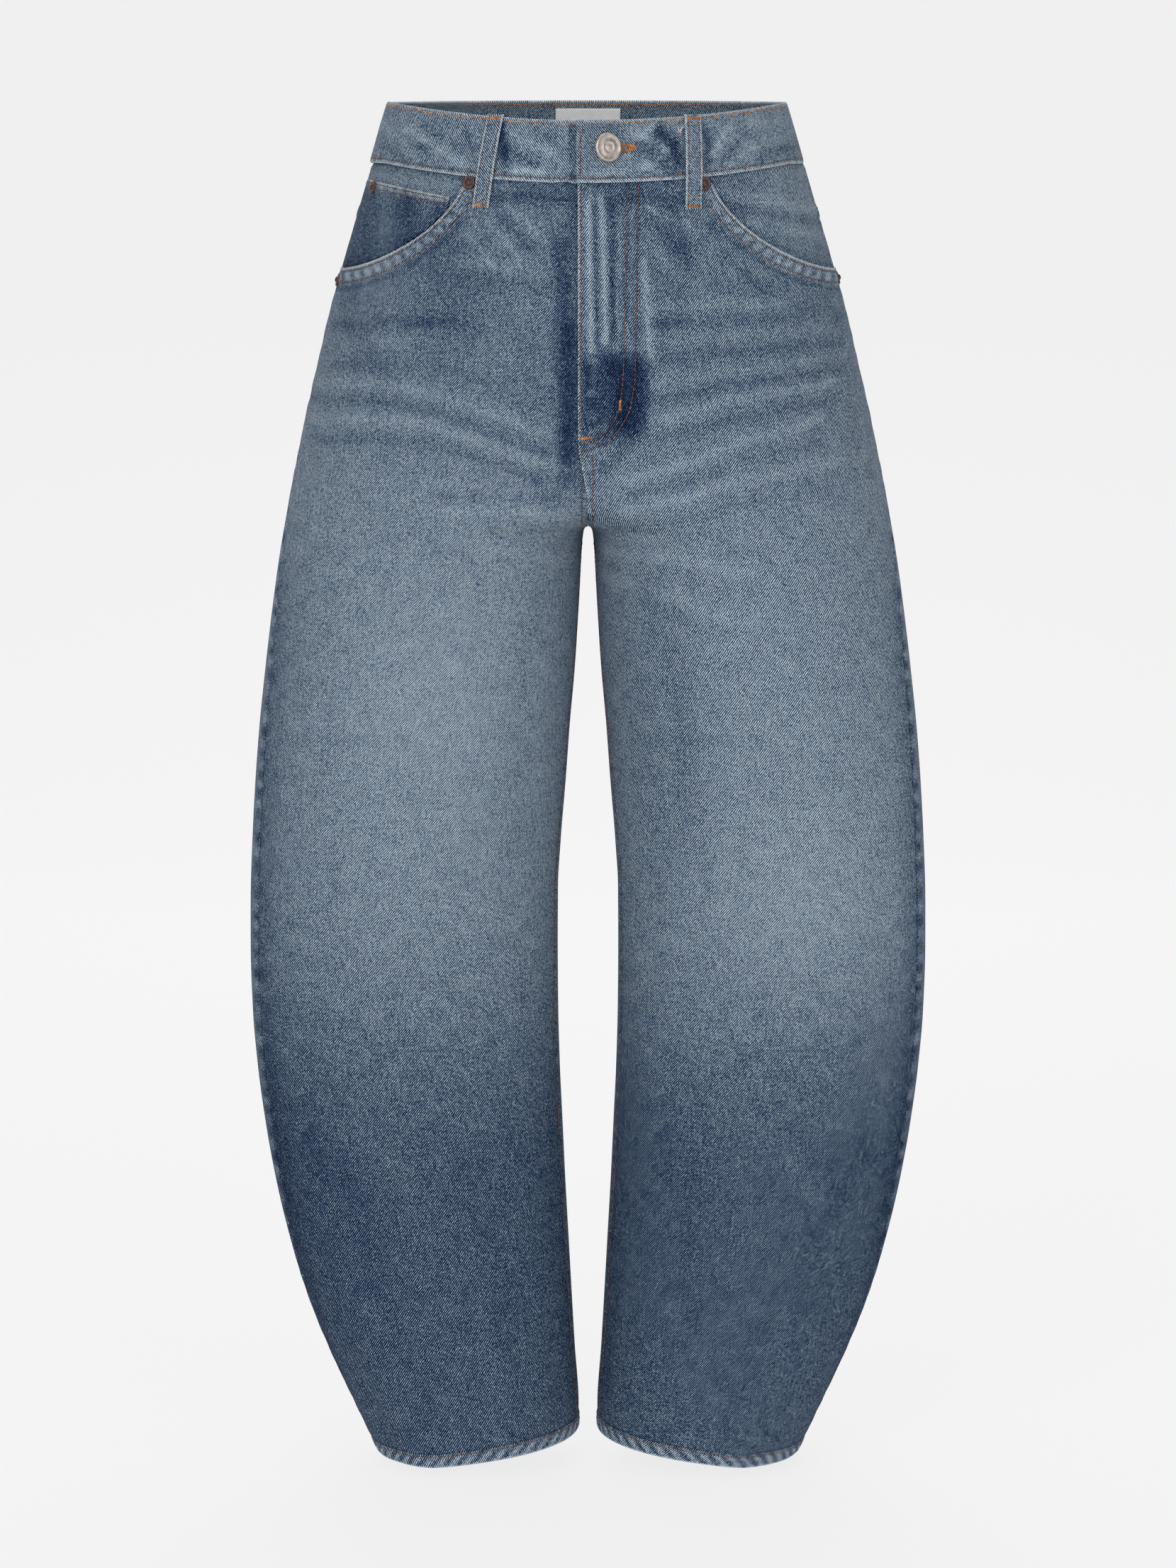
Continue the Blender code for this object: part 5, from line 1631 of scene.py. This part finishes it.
def metal(name, colour, deep, rough, scale):
    """Worn cast metal: pale where it is rubbed, dark where it has tarnished."""
    made, tree, shader = blank_paint(name)
    place = tree.nodes.new("ShaderNodeTexCoord").outputs["Object"]
    tarnish = noise_node(tree, place, scale, 5, 0.65)
    pits = noise_node(tree, place, scale * 9, 2)
    tree.links.new(ramp_node(tree, tarnish, ((0.32, deep), (0.58, colour))), shader.inputs["Base Color"])
    add, _, times = arithmetic(tree)
    tree.links.new(add(rough, times(tarnish, 0.25)), shader.inputs["Roughness"])
    add_relief(tree, shader, add(pits, tarnish), 0.00008)
    shader.inputs["Metallic"].default_value = 0.85
    made.diffuse_color = srgb(*colour)
    return made


def turned(node, profile, sides, stand, paint):
    """The round metal piece of a node, from (radius, height) pairs, stood at its place."""
    lathe = bmesh.new()
    verts = [lathe.verts.new((radius * MM, 0, height * MM)) for radius, height in profile]
    edges = [lathe.edges.new(pair) for pair in zip(verts, verts[1:])]
    turn = {"cent": (0, 0, 0), "axis": (0, 0, 1), "angle": 2 * math.pi, "steps": sides, "use_merge": True}
    bmesh.ops.spin(lathe, geom=verts + edges, **turn)
    bmesh.ops.remove_doubles(lathe, verts=lathe.verts, dist=0.000005)
    bmesh.ops.recalc_face_normals(lathe, faces=lathe.faces)
    bmesh.ops.transform(lathe, matrix=stand, verts=lathe.verts)
    mesh = mesh_from(f"{node}_cast", lathe)
    mesh.shade_smooth()
    mesh.set_sharp_from_angle(angle=math.radians(38))
    mesh.materials.append(paint)
    piece = placed(f"{node}_cast", mesh)
    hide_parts(node)
    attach(piece, "root")


def standing(side, x, level, height, turn=0):
    """Matrix that stands a turned piece on the front of the body."""
    half = halves[side, False]
    level = np.array([level])
    arc = half.arc_at_x(np.array([x]), level)
    out = half.normal(arc, level)[0]
    spot = half.point(arc, level)[0] + out * height
    axis = Vector(out)
    axis.rotate(Matrix.Rotation(math.radians(turn), 3, "Z"))
    return Matrix.Translation(Vector(spot) * MM) @ axis.to_track_quat("Z", "Y").to_matrix().to_4x4()


button_metal = metal("button_metal", (196, 187, 179), (150, 142, 135), 0.27, 240)
BUTTON_PROFILE = (
    (0, 0), (3.2, 0), (3.2, 4.2), (8.6, 4.2), (9.6, 4.5), (10, 4.95), (10, 5.7), (9.75, 6.25),
    (9.2, 6.6), (8.7, 6.7), (8.2, 6.5), (7.9, 6.15), (7.4, 6.05), (5.2, 6.05), (4.9, 6.2), (4.6, 6.5),
    (4.2, 6.62), (3.8, 6.5), (3.5, 6.2), (3.1, 6.1), (2.0, 6.25), (1.0, 6.45), (0, 6.5),
)
stand = standing(LEFT, *BUTTON_AT, BUTTON_OUT, BUTTON_TURN)
turned("button", BUTTON_PROFILE, 56, stand, button_metal)

# Rivets
# Copper rivets, darkened by the wash, at the ends of both front pockets and on the coin pocket.
rivet_metal = metal("rivet_metal", (104, 82, 74), (36, 30, 33), 0.3, 900)
RIVET_PROFILE = (
    (0, 0), (4.5, 0), (4.75, 0.2), (4.75, 0.55), (4.4, 1.0), (3.8, 1.15), (3.1, 1.0), (2.7, 0.85), (2.4, 0.95),
    (2.1, 1.35), (1.8, 1.9), (1.3, 2.25), (0.7, 2.4), (0, 2.45),
)
RIVETS = (
    (1, RIGHT, -82.0, -56.5, 1.0), (2, LEFT, 80.0, -57.2, 1.0), (3, RIGHT, -151.0, -60.5, -0.1),
    (4, RIGHT, -176.3, -126.0, 0.45), (5, LEFT, 176.3, -124.5, 0.45),
)
for number, side, x, level, height in RIVETS:
    turned(f"rivet_{number}", RIVET_PROFILE, 32, standing(side, x, level, height), rivet_metal)

# Floor, backdrop, lights and camera
# A plain pale floor that curves up into a backdrop, and soft lights in front. The camera stands level with
# the waist, 3.6 m away, and looks a little down.
FLOOR_LEVEL = -0.9845
BACKDROP_FROM = 3.5
BACKDROP_HEIGHT = 6
CAMERA_AWAY = 3.6
CAMERA_TILT = 7.71

floor = bmesh.new()
bmesh.ops.create_grid(floor, x_segments=1, y_segments=1, size=1.0)
bmesh.ops.transform(floor, matrix=Matrix.Diagonal((9, 5, 1, 1)), verts=floor.verts)
bmesh.ops.transform(floor, matrix=Matrix.Translation((0, -1, FLOOR_LEVEL)), verts=floor.verts)
far = [edge for edge in floor.edges if all(vert.co.y > BACKDROP_FROM for vert in edge.verts)]
risen = bmesh.ops.extrude_edge_only(floor, edges=far)["geom"]
risen = [vert for vert in risen if isinstance(vert, bmesh.types.BMVert)]
bmesh.ops.translate(floor, verts=risen, vec=(0, 0, BACKDROP_HEIGHT))
far = [vert for vert in floor.verts if vert.co.y > BACKDROP_FROM and vert.co.z < 0]
bmesh.ops.bevel(
    floor,
    geom=[edge for edge in floor.edges if all(vert in far for vert in edge.verts)],
    offset=1.5,
    segments=16,
    profile=0.5,
    affect="EDGES",
    material=-1,
)
bmesh.ops.recalc_face_normals(floor, faces=floor.faces)
floor_mesh = mesh_from("floor", floor)
floor_mesh.shade_smooth()
backdrop = placed("floor", floor_mesh)
paper, _, shader = blank_paint("pale_paper")
shader.inputs["Base Color"].default_value = (0.08, 0.08, 0.08, 1)
shader.inputs["Roughness"].default_value = 0.95
shader.inputs["Specular IOR Level"].default_value = 0.1
shader.inputs["Emission Color"].default_value = (1, 1, 1, 1)
shader.inputs["Emission Strength"].default_value = 0.81
floor_mesh.materials.append(paper)

world = bpy.data.worlds.new("studio")
world.use_nodes = True
sky = world.node_tree.nodes["Background"]
sky.inputs["Color"].default_value = (1, 1, 1, 1)
sky.inputs["Strength"].default_value = 0.35
bpy.context.scene.world = world
bpy.context.scene.view_settings.view_transform = "Standard"


def soft_light(name, place, aim, size, power):
    lamp = bpy.data.lights.new(name, "AREA")
    lamp.shape = "RECTANGLE"
    lamp.size, lamp.size_y = size
    lamp.energy = power
    stand = placed(name, lamp)
    stand.location = place
    stand.rotation_euler = (Vector(aim) - Vector(place)).to_track_quat("-Z", "Y").to_euler()


soft_light("key", (-1.5, -3.4, 1.2), (0, 0, -0.45), (1.8, 2.2), 62)
soft_light("fill", (1.9, -3.2, 0.2), (0, 0, -0.5), (1.8, 2.4), 34)
soft_light("top", (0, 0.2, 2.4), (0, 0, 0), (2.2, 2.2), 22)
soft_light("behind", (0, 3.0, 1.2), (0, 0, -0.4), (2.5, 2.0), 40)

lens = bpy.data.cameras.new("camera")
lens.sensor_fit = "VERTICAL"
lens.sensor_height = 24
lens.lens = 77.3
camera = placed("camera", lens)
camera.location = (0, -CAMERA_AWAY, 0)
camera.rotation_euler = (math.radians(90 - CAMERA_TILT), 0, 0)
bpy.context.scene.camera = camera
